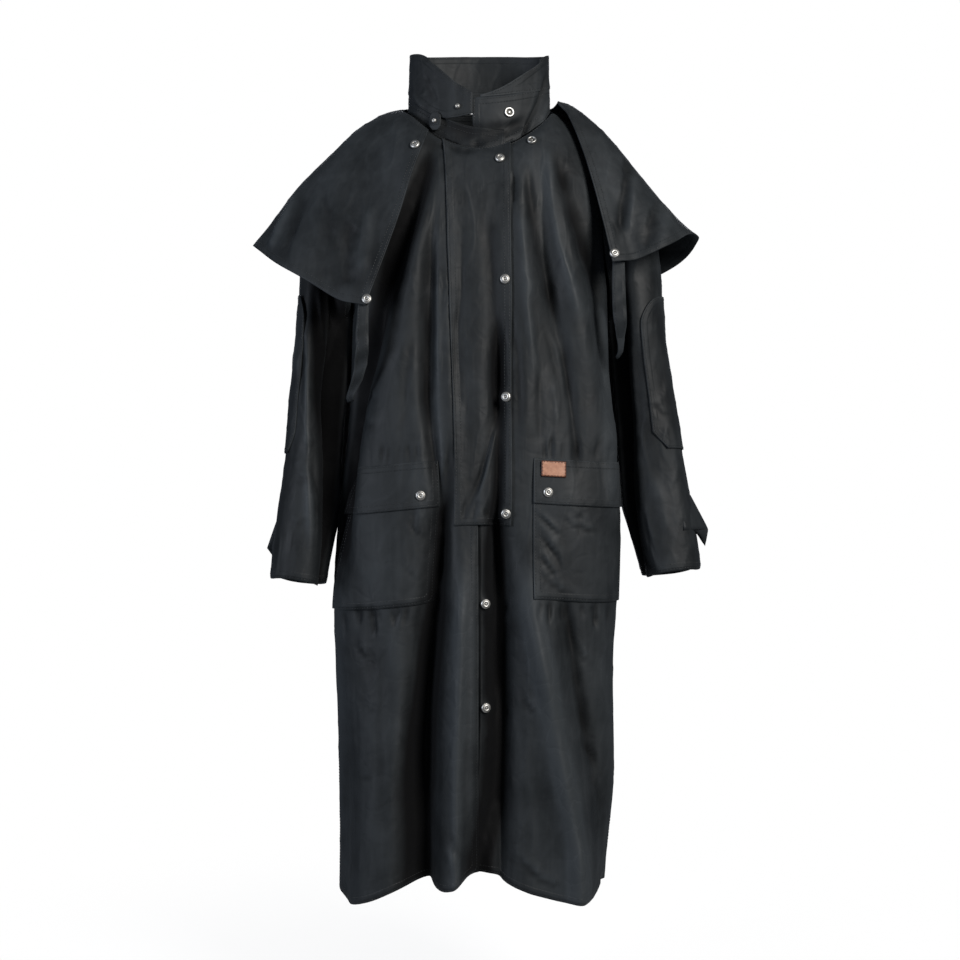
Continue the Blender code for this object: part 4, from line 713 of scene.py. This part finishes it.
def leather_finish():
    made, tree, shader = blank("vegetable-tanned leather, brown")
    place = node(tree, "ShaderNodeTexCoord").outputs["Object"]
    edge = node(tree, "ShaderNodeAttribute", attribute_name="edge").outputs["Fac"]
    patches = node(tree, "ShaderNodeTexNoise", {"Vector": place, "Scale": 160.0, "Detail": 5.0})
    pores = node(tree, "ShaderNodeTexVoronoi", {"Vector": place, "Scale": 900.0})
    burnt = node(tree, "ShaderNodeMapRange", {"Value": edge, "From Max": 0.0022}, **SMOOTH)
    tone = node(tree, "ShaderNodeMath", {0: patches, 1: 0.6, 2: 0.4}, operation="MULTIPLY_ADD")
    tone = node(tree, "ShaderNodeMath", {0: tone, 1: burnt}, operation="MULTIPLY")
    tan = node(tree, "ShaderNodeValToRGB", {"Fac": tone})
    with_stops(tan, (0.0, "#4A2A1C"), (0.5, "#8F5E47"), (0.9, "#C08E72"))
    grain = node(tree, "ShaderNodeBump", {"Height": pores, "Strength": 0.35, "Distance": 0.0004})
    join(tree, shader, {"Base Color": tan, "Roughness": 0.5, "Normal": grain})
    return made


THREAD, NICKEL, LEATHER = thread_finish(), nickel_finish(), leather_finish()

# %% [markdown]
# ## The pieces of cloth
# Each row says how one CAD wall is dressed: its group of creases, how many times it is subdivided,
# how much it rumples, and which way is out. The mesh is moved by the creases, and stores what the
# material needs.

# %% Lines that run beside an edge
STITCHED = {"body": [], "sleeve": [], "cape": [], "collar": [], "none": []}
# metres from a piece's edge to its rows of stitches
STITCH_ROWS = {
    "others": SEAM_ROWS,
    "label": (0.0018,),
    "right_cuff_tab": (),
    "left_cuff_tab": (),
    "right_cape_strap": (0.0025,),
    "left_cape_strap": (0.0025,),
    "throat_latch": (0.0022,),
    "collar": (0.0030,),
    "right_elbow_patch": (0.0030,),
    "left_elbow_patch": (0.0030,),
}


def level_lines(mesh, outer, edge, distance):
    """The lines on the outer face that lie at one distance from the edge, as places and ways up."""
    links = {}
    for number in np.flatnonzero(outer):
        corners = mesh.polygons[number].vertices
        values = edge[list(corners)] - distance
        if values.min() >= 0 or values.max() < 0:
            continue
        cuts = [
            (min(a, b), max(a, b))
            for a, b in zip(corners, [*corners[1:], corners[0]])
            if (edge[a] < distance) != (edge[b] < distance)
        ]
        for one, other in zip(cuts[::2], cuts[1::2]):
            links.setdefault(one, []).append(other)
            links.setdefault(other, []).append(one)
    lines = []
    while links:
        start = next((cut for cut, others in links.items() if len(others) == 1), next(iter(links)))
        line = [start]
        while True:
            others = links.pop(line[-1], [])
            ahead = next((cut for cut in others if cut in links and cut != start), None)
            if ahead is None:
                break
            line.append(ahead)
        if len(line) > 8:
            lines.append(line)
    found = []
    for line in lines:
        places, ways = [], []
        for a, b in line:
            share = (distance - edge[a]) / (edge[b] - edge[a])
            places.append(mesh.vertices[a].co.lerp(mesh.vertices[b].co, share))
            ways.append(mesh.vertices[a].normal.lerp(mesh.vertices[b].normal, share).normalized())
        found.append((places, ways))
    return found


# %% Dress one wall
def flat_map(group, points):
    """Where a point lies on the cut cloth, in metres: round the form and down it."""
    x, y, z = points.T
    if group == "sleeve":
        middle = np.where(x > 0, 0.25, -0.25)
        return np.stack([np.arctan2(y + 0.01, (x - middle) * np.sign(x)) * 0.05, z], axis=1)
    if group == "cape":
        return np.stack([np.arctan2(x, -y) * 0.24, z * 1.3], axis=1)
    return np.stack([np.arctan2(x, -y * 1.6) * 0.20, z], axis=1)


def edge_distance(mesh, points, rim, most=0.05):
    """Metres to the piece's cut edge, walked over the cloth, so an end that laps under isn't near."""
    beside = [[] for _ in points]
    for edge in mesh.edges:
        a, b = edge.vertices
        beside[a].append(b)
        beside[b].append(a)
    places = points.tolist()
    away = np.full(len(points), most)
    known = np.zeros(len(points), bool)
    front = [(0.0, int(vertex), int(vertex)) for vertex in np.flatnonzero(rim)]
    while front:
        reach, vertex, start = heapq.heappop(front)
        if known[vertex]:
            continue
        known[vertex] = True
        away[vertex] = reach
        for other in beside[vertex]:
            if not known[other]:
                step = math.dist(places[other], places[start])
                if step < most:
                    heapq.heappush(front, (step, other, start))
    return away


def between(points, near=0.010):
    """1 far from every fastening and falling to 0 on them, so snaps keep their seats."""
    kept = np.ones(len(points))
    for centre in SEATS:
        away = np.linalg.norm(points - centre, axis=1)
        kept *= 1 - np.exp(-((away / near) ** 2))
    return kept


ARM_LEAN, ARM_LEAN_BEHIND = 0.0030, 0.0085  # metres that a sleeve's inner side leans on the coat
CUFF_DROP = 0.011  # metres that the front of a cuff hangs below its back


def pressed(points, ways):
    """How far a sleeve's inner side leans on the coat's side, so no slit of light shows between them."""
    side = np.sign(points[:, 0])
    inward = -side * ways[:, 0]
    behind = seam(points[:, 1], 0.006, 0.030)
    beside = seam(points[:, 2], -0.70, -0.60) * (1 - seam(points[:, 2], -0.31, -0.26))
    lean = ARM_LEAN * seam(inward, 0.6, 0.95) * (1 - behind)
    lean += ARM_LEAN_BEHIND * seam(inward, 0.25, 0.75) * behind
    return -side * lean * beside


def cuff_drop(points, ways):
    """The front of a cuff hangs a little lower than its back, so its opening hardly shows."""
    foot = points[:, 2].min()
    return -CUFF_DROP * seam(-ways[:, 1], 0.1, 0.8) * (1 - seam(points[:, 2], foot + 0.01, foot + 0.13))


# The cape's straps as they hang: pixel row, then the columns of the left and the right edge
STRAP_EDGES = {
    "right_cape_strap": ((303, 358, 369), (320, 356, 369), (351, 354, 370), (366, 354, 368), (380, 349, 364),
                         (398, 342, 355)),
    "left_cape_strap": ((258, 612, 625), (300, 612, 626), (330, 613, 628), (363, 616, 631)),
}


def hang_strap(rows, points):
    """Moves a strap sideways until its edges fall where the rows say, and crumples it."""
    u, v = in_picture(points)
    stops = np.linspace(v.min(), v.max(), 15)
    gap = stops[1] - stops[0]
    inside = [u[np.abs(v - stop) <= gap] for stop in stops]
    low = np.interp(v, stops, [part.min() for part in inside])
    high = np.interp(v, stops, [part.max() for part in inside])
    rows = np.array(rows, float)
    left, right = np.interp(v, rows[:, 0], rows[:, 1]), np.interp(v, rows[:, 0], rows[:, 2])
    share = np.clip((u - low) / np.maximum(high - low, 1e-6), 0, 1)
    points[:, 0] += (left + (right - left) * share - u) * pixel_at(points[:, 1])
    points[:, 1] += 0.0016 * np.sin(v / 4.1 + share * 2.5) * seam(v, stops[2], stops[5])
    return points


# In metres: how far the back's side edges go forward and inward to lie under the fronts, and how far
# its left hem corner goes inward besides
SIDE_FORWARD, SIDE_INWARD, HEM_CORNER = 0.0045, 0.0024, 0.008
# In metres: how far the collar's foot swells and drops over the stand
FOOT_SWELL, FOOT_DROP = 0.0011, 0.0034
# In metres: how far the end of the collar's right leaf goes towards the throat tab, and how far the
# leaf's lower part drops
LEAF_REACH, LEAF_DROP = 0.0062, 0.0022
LEAF_END = 470  # the pixel column where the right leaf ends


def lap_under(points):
    """The back's side edges lie a little under the fronts, as in a sewn seam, and let no light through."""
    near = (1 - seam(np.abs(points[:, 1]), 0.001, 0.014)) * (np.abs(points[:, 0]) > 0.15)
    points[:, 1] -= SIDE_FORWARD * near
    points[:, 0] -= np.sign(points[:, 0]) * SIDE_INWARD * near
    # The corner would hang out below the left front
    corner = near * (points[:, 0] > 0) * (1 - seam(points[:, 2], -1.19, -1.12))
    points[:, 0] -= HEM_CORNER * corner
    return points


def close_collar(points, ways, edge):
    """The right leaf's end reaches the throat tab, and the collar's foot lies over the stand's top."""
    foot = (1 - seam(edge, 0.001, 0.012)) * (points[:, 2] < 0.065) * seam(points[:, 1], -0.050, -0.030)
    points += ways * (FOOT_SWELL * foot)[:, None]
    points[:, 2] -= FOOT_DROP * foot
    u, v = in_picture(points)
    leaf = seam(u, 448, 466) * (u < LEAF_END) * (points[:, 1] < 0) * seam(v, 78, 92)
    points[:, 0] += LEAF_REACH * leaf
    low = 1 - seam(points[:, 2], points[:, 2].min() + 0.004, points[:, 2].min() + 0.03)
    points[:, 2] -= LEAF_DROP * low * (points[:, 1] < 0) * (u < LEAF_END)
    return points


def mark(mesh, edge, lift, flat):
    """Stores what the cloth's material reads at each point: its edge, its lift, by which it paints shade in
    folds and a highlight on crowns, and its place on the cut.
    """
    for label, values in (("edge", edge), ("lift", lift)):
        mesh.attributes.new(label, "FLOAT", "POINT").data.foreach_set("value", values)
    for layer in list(mesh.uv_layers):
        mesh.uv_layers.remove(layer)
    corners = flat[column(mesh.loops, "vertex_index", int)]
    mesh.uv_layers.new(name="cut").data.foreach_set("uv", corners.ravel())


SNAP_NODES = [name for name in NODES if name.endswith(("snap", "stud", "ring")) or "_snap_" in name]
SEATS = [np.array((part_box(name)[0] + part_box(name)[1]) / 2) for name in SNAP_NODES]


def dress(name, group, levels, strength, out_of):
    """The finished piece of cloth for one CAD wall."""
    mesh = fine_wall(name, levels, out_of)
    mesh.name = name + "_cloth"
    points = points_of(mesh)
    sides = column(mesh.polygons, "material_index", int)
    totals = column(mesh.polygons, "loop_total", int)
    rim = np.zeros(len(points), bool)
    rim[column(mesh.loops, "vertex_index", int)[np.repeat(sides == RIM, totals)]] = True
    edge = edge_distance(mesh, points, rim)
    ways = out_of(points)
    height = cloth_height(group, name, points, ways, strength)
    height *= between(points)
    if group in ("body", "sleeve"):  # sewn where they meet, above the underarm
        top = seam(points[:, 2], -0.36, -0.30)
        height *= 1 - top * (1 - seam(edge, 0.004, 0.030))
    if group == "cape":
        height *= seam(edge, -0.004, 0.020)
    if group == "collar":
        height *= seam(points[:, 2], -0.085, -0.055)
    points += ways * height[:, None]
    if name.endswith("sleeve"):
        points[:, 0] += pressed(points, ways)
        points[:, 2] += cuff_drop(points, ways)
    if name in STRAP_EDGES:
        points = hang_strap(STRAP_EDGES[name], points)
    if name == "collar":
        points = close_collar(points, ways, edge)
    if name == "back":
        points = lap_under(points)
    mesh.vertices.foreach_set("co", points.ravel())
    mark(mesh, edge, height, flat_map(group, points))
    mesh.materials.clear()
    finishes = (LEATHER, LEATHER, LEATHER) if name == "label" else (OILSKIN, LINING, OILSKIN)
    for finish in finishes:
        mesh.materials.append(finish)
    mesh.shade_smooth()
    mesh.update()
    made = show(name + "_cloth", mesh)
    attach(made, "root")
    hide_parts(name)
    area = column(mesh.polygons, "area").sum()
    print(f"{name}: {int((totals - 2).sum())} triangles, half its skin {area / 2:.4f} m2")
    for distance in STITCH_ROWS.get(name, STITCH_ROWS["others"]):
        STITCHED[group].extend(level_lines(mesh, sides == OUTSIDE, edge, distance))
    return made


RIGHT_ARM, LEFT_ARM = out_of_sleeve("right_sleeve"), out_of_sleeve("left_sleeve")
# name, crease group, subdivisions, how much it rumples, way out
PIECES = (
    ("back", "body", 2, 1.0, out_of_body),
    ("right_front", "body", 3, 1.0, out_of_body),
    ("left_front", "body", 3, 1.0, out_of_body),
    ("storm_flap", "body", 3, 1.0, out_of_body),
    ("right_pocket", "body", 3, 1.0, out_of_body),
    ("left_pocket", "body", 3, 1.0, out_of_body),
    ("right_pocket_flap", "body", 3, 1.0, out_of_body),
    ("left_pocket_flap", "body", 3, 1.0, out_of_body),
    ("label", "body", 2, 1.0, out_of_body),
    ("right_sleeve", "sleeve", 3, 1.5, RIGHT_ARM),
    ("left_sleeve", "sleeve", 3, 1.5, LEFT_ARM),
    ("right_elbow_patch", "sleeve", 3, 1.5, RIGHT_ARM),
    ("left_elbow_patch", "sleeve", 3, 1.5, LEFT_ARM),
    ("right_cape", "cape", 3, 1.1, out_of_cape),
    ("left_cape", "cape", 3, 1.1, out_of_cape),
    ("right_cape_strap", "none", 2, 0.0, out_of_body),
    ("left_cape_strap", "none", 2, 0.0, out_of_body),
    ("collar_stand", "collar", 3, 0.6, out_of_collar),
    ("collar", "collar", 3, 0.8, out_of_collar),
    ("throat_latch", "collar", 2, 0.6, out_of_collar),
)
for row in PIECES:
    dress(*row)

# %% [markdown]
# ## Geometry Nodes for what repeats
# A stitch and a snap are each drawn once, in a node tree, and then set on many points. A tree here
# names its sizes as inputs. Its result is turned into a plain mesh at once, because the finished
# piece must carry no modifier when it is handed over.

# %% Run a tree
def new_tree(name, *sizes):
    tree = bpy.data.node_groups.new(name, "GeometryNodeTree")
    tree.interface.new_socket("Geometry", in_out="INPUT", socket_type="NodeSocketGeometry")
    for label in sizes:
        tree.interface.new_socket(label, in_out="INPUT", socket_type="NodeSocketFloat")
    tree.interface.new_socket("Geometry", in_out="OUTPUT", socket_type="NodeSocketGeometry")
    return tree, node(tree, "NodeGroupInput").outputs


def end_tree(tree, laid, finish):
    """Turns the copies that were laid out into one mesh with its material, which is the tree's result."""
    whole = node(tree, "GeometryNodeRealizeInstances", {"Geometry": laid})
    done = node(tree, "GeometryNodeSetMaterial", {"Geometry": whole, "Material": finish})
    node(tree, "NodeGroupOutput", {"Geometry": done})
    return tree


def run_tree(name, mesh, tree, **sizes):
    """What a tree makes of a mesh, as a plain mesh in an object of its own."""
    holder = show(name + "_points", mesh)
    works = holder.modifiers.new("Works", "NODES")
    works.node_group = tree
    for item in tree.interface.items_tree:
        if item.in_out == "INPUT" and item.name in sizes:
            works[item.identifier] = sizes[item.name]
    done = baked(holder)
    done.name = name
    made = show(name, done)
    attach(made, "root")
    return made


def point_mesh(name, places, links, **attributes):
    mesh = bpy.data.meshes.new(name)
    mesh.from_pydata(places, links, [])
    for label, values in attributes.items():
        layer = mesh.attributes.new(label, "FLOAT_VECTOR", "POINT")
        layer.data.foreach_set("vector", np.array(values, float).ravel())
    return mesh


# %% [markdown]
# The coat is sewn with thick polyester thread, in stitches about 4 mm long. Each is a drop of some
# twenty faces, because thousands of them are needed. The tree turns the lines beside the edges
# into curves, marks them off at the stitch's pitch, and lays a stitch on every mark: its length
# along the line, and its top away from the cloth.

# %% Stitches
STITCH = {"Pitch": 0.0046, "Length": 0.0034, "Width": 0.0008, "Lift": 0.0001}


def stitch_tree():
    tree, sizes = new_tree("row of stitches", *STITCH)
    up = node(tree, "GeometryNodeInputNamedAttribute", {"Name": "up"}, data_type="FLOAT_VECTOR")
    lines = node(tree, "GeometryNodeMeshToCurve", {"Mesh": sizes["Geometry"]})
    marks = node(tree, "GeometryNodeResampleCurve", {"Curve": lines, "Length": sizes["Pitch"]}, mode="LENGTH")
    away = node(tree, "ShaderNodeVectorMath", {0: up, "Scale": sizes["Lift"]}, operation="SCALE")
    raised = node(tree, "GeometryNodeSetPosition", {"Geometry": marks, "Offset": away})
    along = node(tree, "GeometryNodeInputTangent")
    stood = node(tree, "FunctionNodeAlignRotationToVector", {"Vector": up}, axis="Z")
    turned = node(tree, "FunctionNodeAlignRotationToVector", {
        "Rotation": stood, "Vector": along,
    }, axis="X", pivot_axis="Z")
    size = node(tree, "ShaderNodeCombineXYZ", {
        "X": sizes["Length"], "Y": sizes["Width"], "Z": sizes["Width"],
    })
    drop = node(tree, "GeometryNodeMeshIcoSphere", {"Radius": 0.5, "Subdivisions": 1})
    laid = node(tree, "GeometryNodeInstanceOnPoints", {
        "Points": raised, "Instance": drop, "Rotation": turned, "Scale": size,
    })
    return end_tree(tree, laid, THREAD)


STITCH_TREE = stitch_tree()
for group, lines in STITCHED.items():
    if not lines:
        continue
    places, ways, links = [], [], []
    for line_places, line_ways in lines:
        first = len(places)
        places.extend(line_places)
        ways.extend(line_ways)
        links.extend((first + k, first + k + 1) for k in range(len(line_places) - 1))
    marked = point_mesh("lines", places, links, up=ways)
    stitches = run_tree(group + "_stitches", marked, STITCH_TREE, **STITCH)
    print(group, "stitches:", len(stitches.data.polygons) // 20)

# %% [markdown]
# ## Snaps
# A press stud shows its cap: a thin dome of stamped metal with a ring pressed into it and a knob in
# the middle. Where the other half shows, it is an open ring round a post. Both are round, so a flat
# grid is rolled up in the tree: one side of the grid runs round the stud and the other runs from
# the middle to the foot, where two curves say how far out and how high it lies.

# %% The outline of a cap and of an open stud
# share of the way from the middle to the foot, share of the radius, share of the height, hollow or not
CAP = ((0.0, 0.0, 0.90, 0.1), (0.16, 0.17, 0.86, 0.7), (0.24, 0.26, 0.80, 1.0), (0.34, 0.36, 0.93, 0.1),
       (0.46, 0.50, 0.97, 0.0), (0.56, 0.62, 0.88, 0.8), (0.64, 0.70, 0.86, 1.0), (0.74, 0.80, 0.80, 0.1),
       (0.86, 0.94, 0.52, 0.1), (0.93, 1.0, 0.25, 0.6), (1.0, 1.0, 0.0, 1.0))
RING = ((0.0, 0.0, 0.80, 0.1), (0.15, 0.20, 0.74, 0.2), (0.24, 0.27, 0.30, 1.0), (0.34, 0.36, 0.18, 1.0),
        (0.48, 0.56, 0.18, 1.0), (0.58, 0.62, 0.60, 0.5), (0.68, 0.70, 0.95, 0.0), (0.80, 0.84, 1.0, 0.0),
        (0.90, 0.98, 0.70, 0.2), (1.0, 1.0, 0.0, 0.9))


def stud_tree(name, outline):
    tree, sizes = new_tree(name, "Around", "Steps")
    plate = node(tree, "GeometryNodeMeshGrid", {
        "Size X": 1.0, "Size Y": 1.0, "Vertices X": sizes["Around"], "Vertices Y": sizes["Steps"],
    })
    parts = node(tree, "ShaderNodeSeparateXYZ", {"Vector": node(tree, "GeometryNodeInputPosition")})
    turn = node(tree, "ShaderNodeMath", {0: parts.outputs["X"], 1: 2 * math.pi}, operation="MULTIPLY")
    share = node(tree, "ShaderNodeMath", {0: parts.outputs["Y"], 1: 0.5}, operation="ADD")
    curves = []
    for column_number in (1, 2, 3):
        curve = node(tree, "ShaderNodeFloatCurve", {"Value": share})
        points = curve.mapping.curves[0].points
        points[0].location = (0.0, outline[0][column_number])
        points[1].location = (1.0, outline[-1][column_number])
        for row in outline[1:-1]:
            points.new(row[0], row[column_number])
        curve.mapping.update()
        curves.append(curve)
    out, height, hollow = curves
    sides = []
    for operation in ("COSINE", "SINE"):
        way = node(tree, "ShaderNodeMath", {0: turn}, operation=operation)
        sides.append(node(tree, "ShaderNodeMath", {0: way, 1: out}, operation="MULTIPLY"))
    place = node(tree, "ShaderNodeCombineXYZ", {"X": sides[0], "Y": sides[1], "Z": height})
    noted = node(tree, "GeometryNodeStoreNamedAttribute", {
        "Geometry": plate, "Name": "hollow", "Value": hollow,
    }, data_type="FLOAT", domain="POINT")
    rolled = node(tree, "GeometryNodeSetPosition", {"Geometry": noted, "Position": place})
    closed = node(tree, "GeometryNodeMergeByDistance", {"Geometry": rolled, "Distance": 0.0005})
    smooth = node(tree, "GeometryNodeSetShadeSmooth", {"Geometry": closed})
    size = node(tree, "GeometryNodeInputNamedAttribute", {"Name": "size"}, data_type="FLOAT_VECTOR")
    up = node(tree, "GeometryNodeInputNamedAttribute", {"Name": "up"}, data_type="FLOAT_VECTOR")
    stood = node(tree, "FunctionNodeAlignRotationToVector", {"Vector": up}, axis="Z")
    set_on = node(tree, "GeometryNodeInstanceOnPoints", {
        "Points": sizes["Geometry"], "Instance": smooth, "Rotation": stood, "Scale": size,
    })
    return end_tree(tree, set_on, NICKEL)


STUD_SUNK = 0.0008  # metres that a stud's foot is set into the cloth


def seat_of(name):
    """Foot, way up, radius and height of a stud, measured on its CAD node, whose thin way is up."""
    points = points_of(NODES[name].data)
    middle = points.mean(axis=0)
    up = np.linalg.svd(points - middle, full_matrices=False)[2][2]
    up = up if up[1] < 0 else -up
    height = (points - middle) @ up
    radius = np.linalg.norm(points - middle - np.outer(height, up), axis=1).max()
    return middle + up * (height.min() - STUD_SUNK), up, radius, float(np.ptp(height)) + STUD_SUNK


OPEN_STUDS = ("left_neck_stud", "throat_ring")
for name, outline, members in (
    ("snap_caps", CAP, [n for n in SNAP_NODES if n not in OPEN_STUDS]),
    ("open_studs", RING, list(OPEN_STUDS)),
):
    feet, ways, sizes = [], [], []
    for member in members:
        foot, up, radius, height = seat_of(member)
        print(member, "radius", round(radius * 1000, 2), "height", round(height * 1000, 2), "mm")
        feet.append(foot.tolist())
        ways.append(up)
        sizes.append((radius, radius, height))
    studs = run_tree(name, point_mesh("seats", feet, [], up=ways, size=sizes), stud_tree(name, outline),
                     Around=33, Steps=36)
    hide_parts(*members)

# %% [markdown]
# ## Cuff tabs
# A strip of cloth at each cuff lets the wearer draw it in. Both stand off the sleeve. The one on
# the viewer's right flares out in front of its cuff and folds under, and the other shows only as a
# dark corner behind its cuff. A bent patch between four corners gives each, and a Solidify modifier
# gives it its thickness.

# %% The tabs
TAB_THICKNESS = 0.0016
TAB_EDGE = 0.006  # metres from the edge as the finish reads it: between two rows, so no groove shows
# name, then four corners of each patch as pixel column, pixel row and depth in metres
TABS = (
    ("left_cuff_tab", (((681, 498, -0.062), (690, 495, -0.030), (708, 529, -0.034), (684, 530, -0.078)),
                       ((690, 529, -0.060), (708, 529, -0.034), (705, 546, -0.028), (697, 533, -0.030)))),
    ("right_cuff_tab", (((280, 511, 0.004), (286, 514, 0.010), (284, 562, 0.012), (267, 548, 0.006)),
                        ((267, 548, 0.006), (280, 548, 0.012), (284, 562, 0.012), (275, 559, 0.004)))),
)


def from_picture(u, v, depth):
    step = pixel_at(depth)
    return Vector(((u - PICTURE / 2) * step, depth, EYE.z + (PICTURE / 2 - v) * step))


def cuff_tab(name, patches, steps=8):
    work = bmesh.new()
    for corners in patches:
        a, b, c, d = (from_picture(*corner) for corner in corners)
        grid = []
        for i in range(steps + 1):
            t = i / steps
            left, right = a.lerp(d, t), b.lerp(c, t)
            row = []
            for j in range(steps + 1):
                s = j / steps
                bulge = 0.003 * math.sin(math.pi * s) * math.sin(math.pi * t)
                row.append(work.verts.new(left.lerp(right, s) + Vector((0, -bulge, 0))))
            grid.append(row)
        for one, other in zip(grid, grid[1:]):
            for j in range(steps):
                work.faces.new((one[j], other[j], other[j + 1], one[j + 1]))
    bmesh.ops.remove_doubles(work, verts=work.verts, dist=1e-5)
    bmesh.ops.recalc_face_normals(work, faces=work.faces)
    mesh = bpy.data.meshes.new(name + "_cloth")
    work.to_mesh(mesh)
    work.free()
    holder = show(name + "_flat", mesh)
    thick = holder.modifiers.new("Thickness", "SOLIDIFY")
    thick.thickness = TAB_THICKNESS
    thick.offset = 0
    done = baked(holder)
    done.name = name + "_cloth"
    points = points_of(done)
    mark(done, np.full(len(points), TAB_EDGE), np.zeros(len(points)), points[:, (0, 2)])
    done.materials.clear()
    done.materials.append(OILSKIN)
    done.shade_smooth()
    made = show(name + "_cloth", done)
    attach(made, "root")
    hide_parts(name)
    return made


for name, patches in TABS:
    cuff_tab(name, patches)

# %% [markdown]
# ## The cut of each piece
# Every piece here was a flat shape of cloth before it was sewn. The photograph doesn't show the
# flat cut.

# %% [markdown]
# ## Floor and light
# A plain pale floor lies a hand's width below the hem, where the wearer's feet would be. It fades
# into the white studio round it, so no line shows where it ends. Black cloth shows its folds only
# when little light comes from all around. So the studio is bright for the eye alone, and the coat
# gets its light from soft windows: a large one in front on the right, a cooler one on the left
# that picks out the other walls of the folds, and one behind for whoever walks round it.

# %% The stage
FLOOR = -1.42  # its height in metres
FLOOR_RADIUS = 2.2
FLOOR_FADE = (1.9, 0.5)  # metres from the middle at which the floor is gone, and at which it is whole


def stage():
    made, tree, shader = blank("painted studio floor")
    place = node(tree, "ShaderNodeTexCoord").outputs["Object"]
    away = node(tree, "ShaderNodeVectorMath", {0: place}, operation="LENGTH")
    grain = node(tree, "ShaderNodeTexNoise", {"Vector": place, "Scale": 3.0})
    tone = with_stops(node(tree, "ShaderNodeValToRGB", {"Fac": grain}), (0.3, "#F0F0EE"), (0.7, "#F5F5F4"))
    fade = node(tree, "ShaderNodeMapRange", {
        "Value": away, "From Min": FLOOR_FADE[0], "From Max": FLOOR_FADE[1],
    }, **SMOOTH)
    join(tree, shader, {
        "Base Color": tone, "Roughness": 0.9, "Alpha": fade,
        "Emission Color": colour("#FFFFFF"), "Emission Strength": 0.35,
    })
    mesh = bpy.data.meshes.new("floor")
    work = bmesh.new()
    bmesh.ops.create_circle(work, cap_ends=True, radius=FLOOR_RADIUS, segments=96)
    work.to_mesh(mesh)
    work.free()
    mesh.transform(Matrix.Translation((0, 0, FLOOR)))
    mesh.materials.append(made)
    show("floor", mesh)


def window(name, place, aim, size, power, tint):
    data = bpy.data.lights.new(name, "AREA")
    data.shape = "RECTANGLE"
    data.size, data.size_y = size
    data.energy = power
    data.color = colour(tint)[:3]
    made = show(name, data)
    made.location = place
    made.rotation_mode = "QUATERNION"
    made.rotation_quaternion = (Vector(aim) - Vector(place)).to_track_quat("-Z", "Y")


def studio():
    """White to the eye, and a faint cool light for the coat."""
    world = bpy.data.worlds.new("studio")
    world.use_nodes = True
    tree = world.node_tree
    tree.nodes.clear()
    seen = node(tree, "ShaderNodeLightPath").outputs["Is Camera Ray"]
    dim = node(tree, "ShaderNodeBackground", {"Color": colour("#DCE6F5"), "Strength": 0.12})
    white = node(tree, "ShaderNodeBackground", {"Color": colour("#FFFFFF"), "Strength": 1.0})
    both = node(tree, "ShaderNodeMixShader", {0: seen, 1: dim, 2: white})
    node(tree, "ShaderNodeOutputWorld", {"Surface": both})
    bpy.context.scene.world = world


stage()
studio()
window("right window", (1.8, -2.6, 0.8), (0.0, 0.0, -0.5), (1.1, 1.5), 112, "#FFFCF8")
window("left window", (-2.4, -1.7, -0.2), (0.0, 0.0, -0.55), (0.8, 1.3), 44, "#E2E9F6")
window("back window", (0.0, 2.8, 0.6), (0.0, 0.0, -0.5), (2.4, 1.6), 46, "#F6F8FF")
bpy.context.scene.view_settings.view_transform = "Standard"
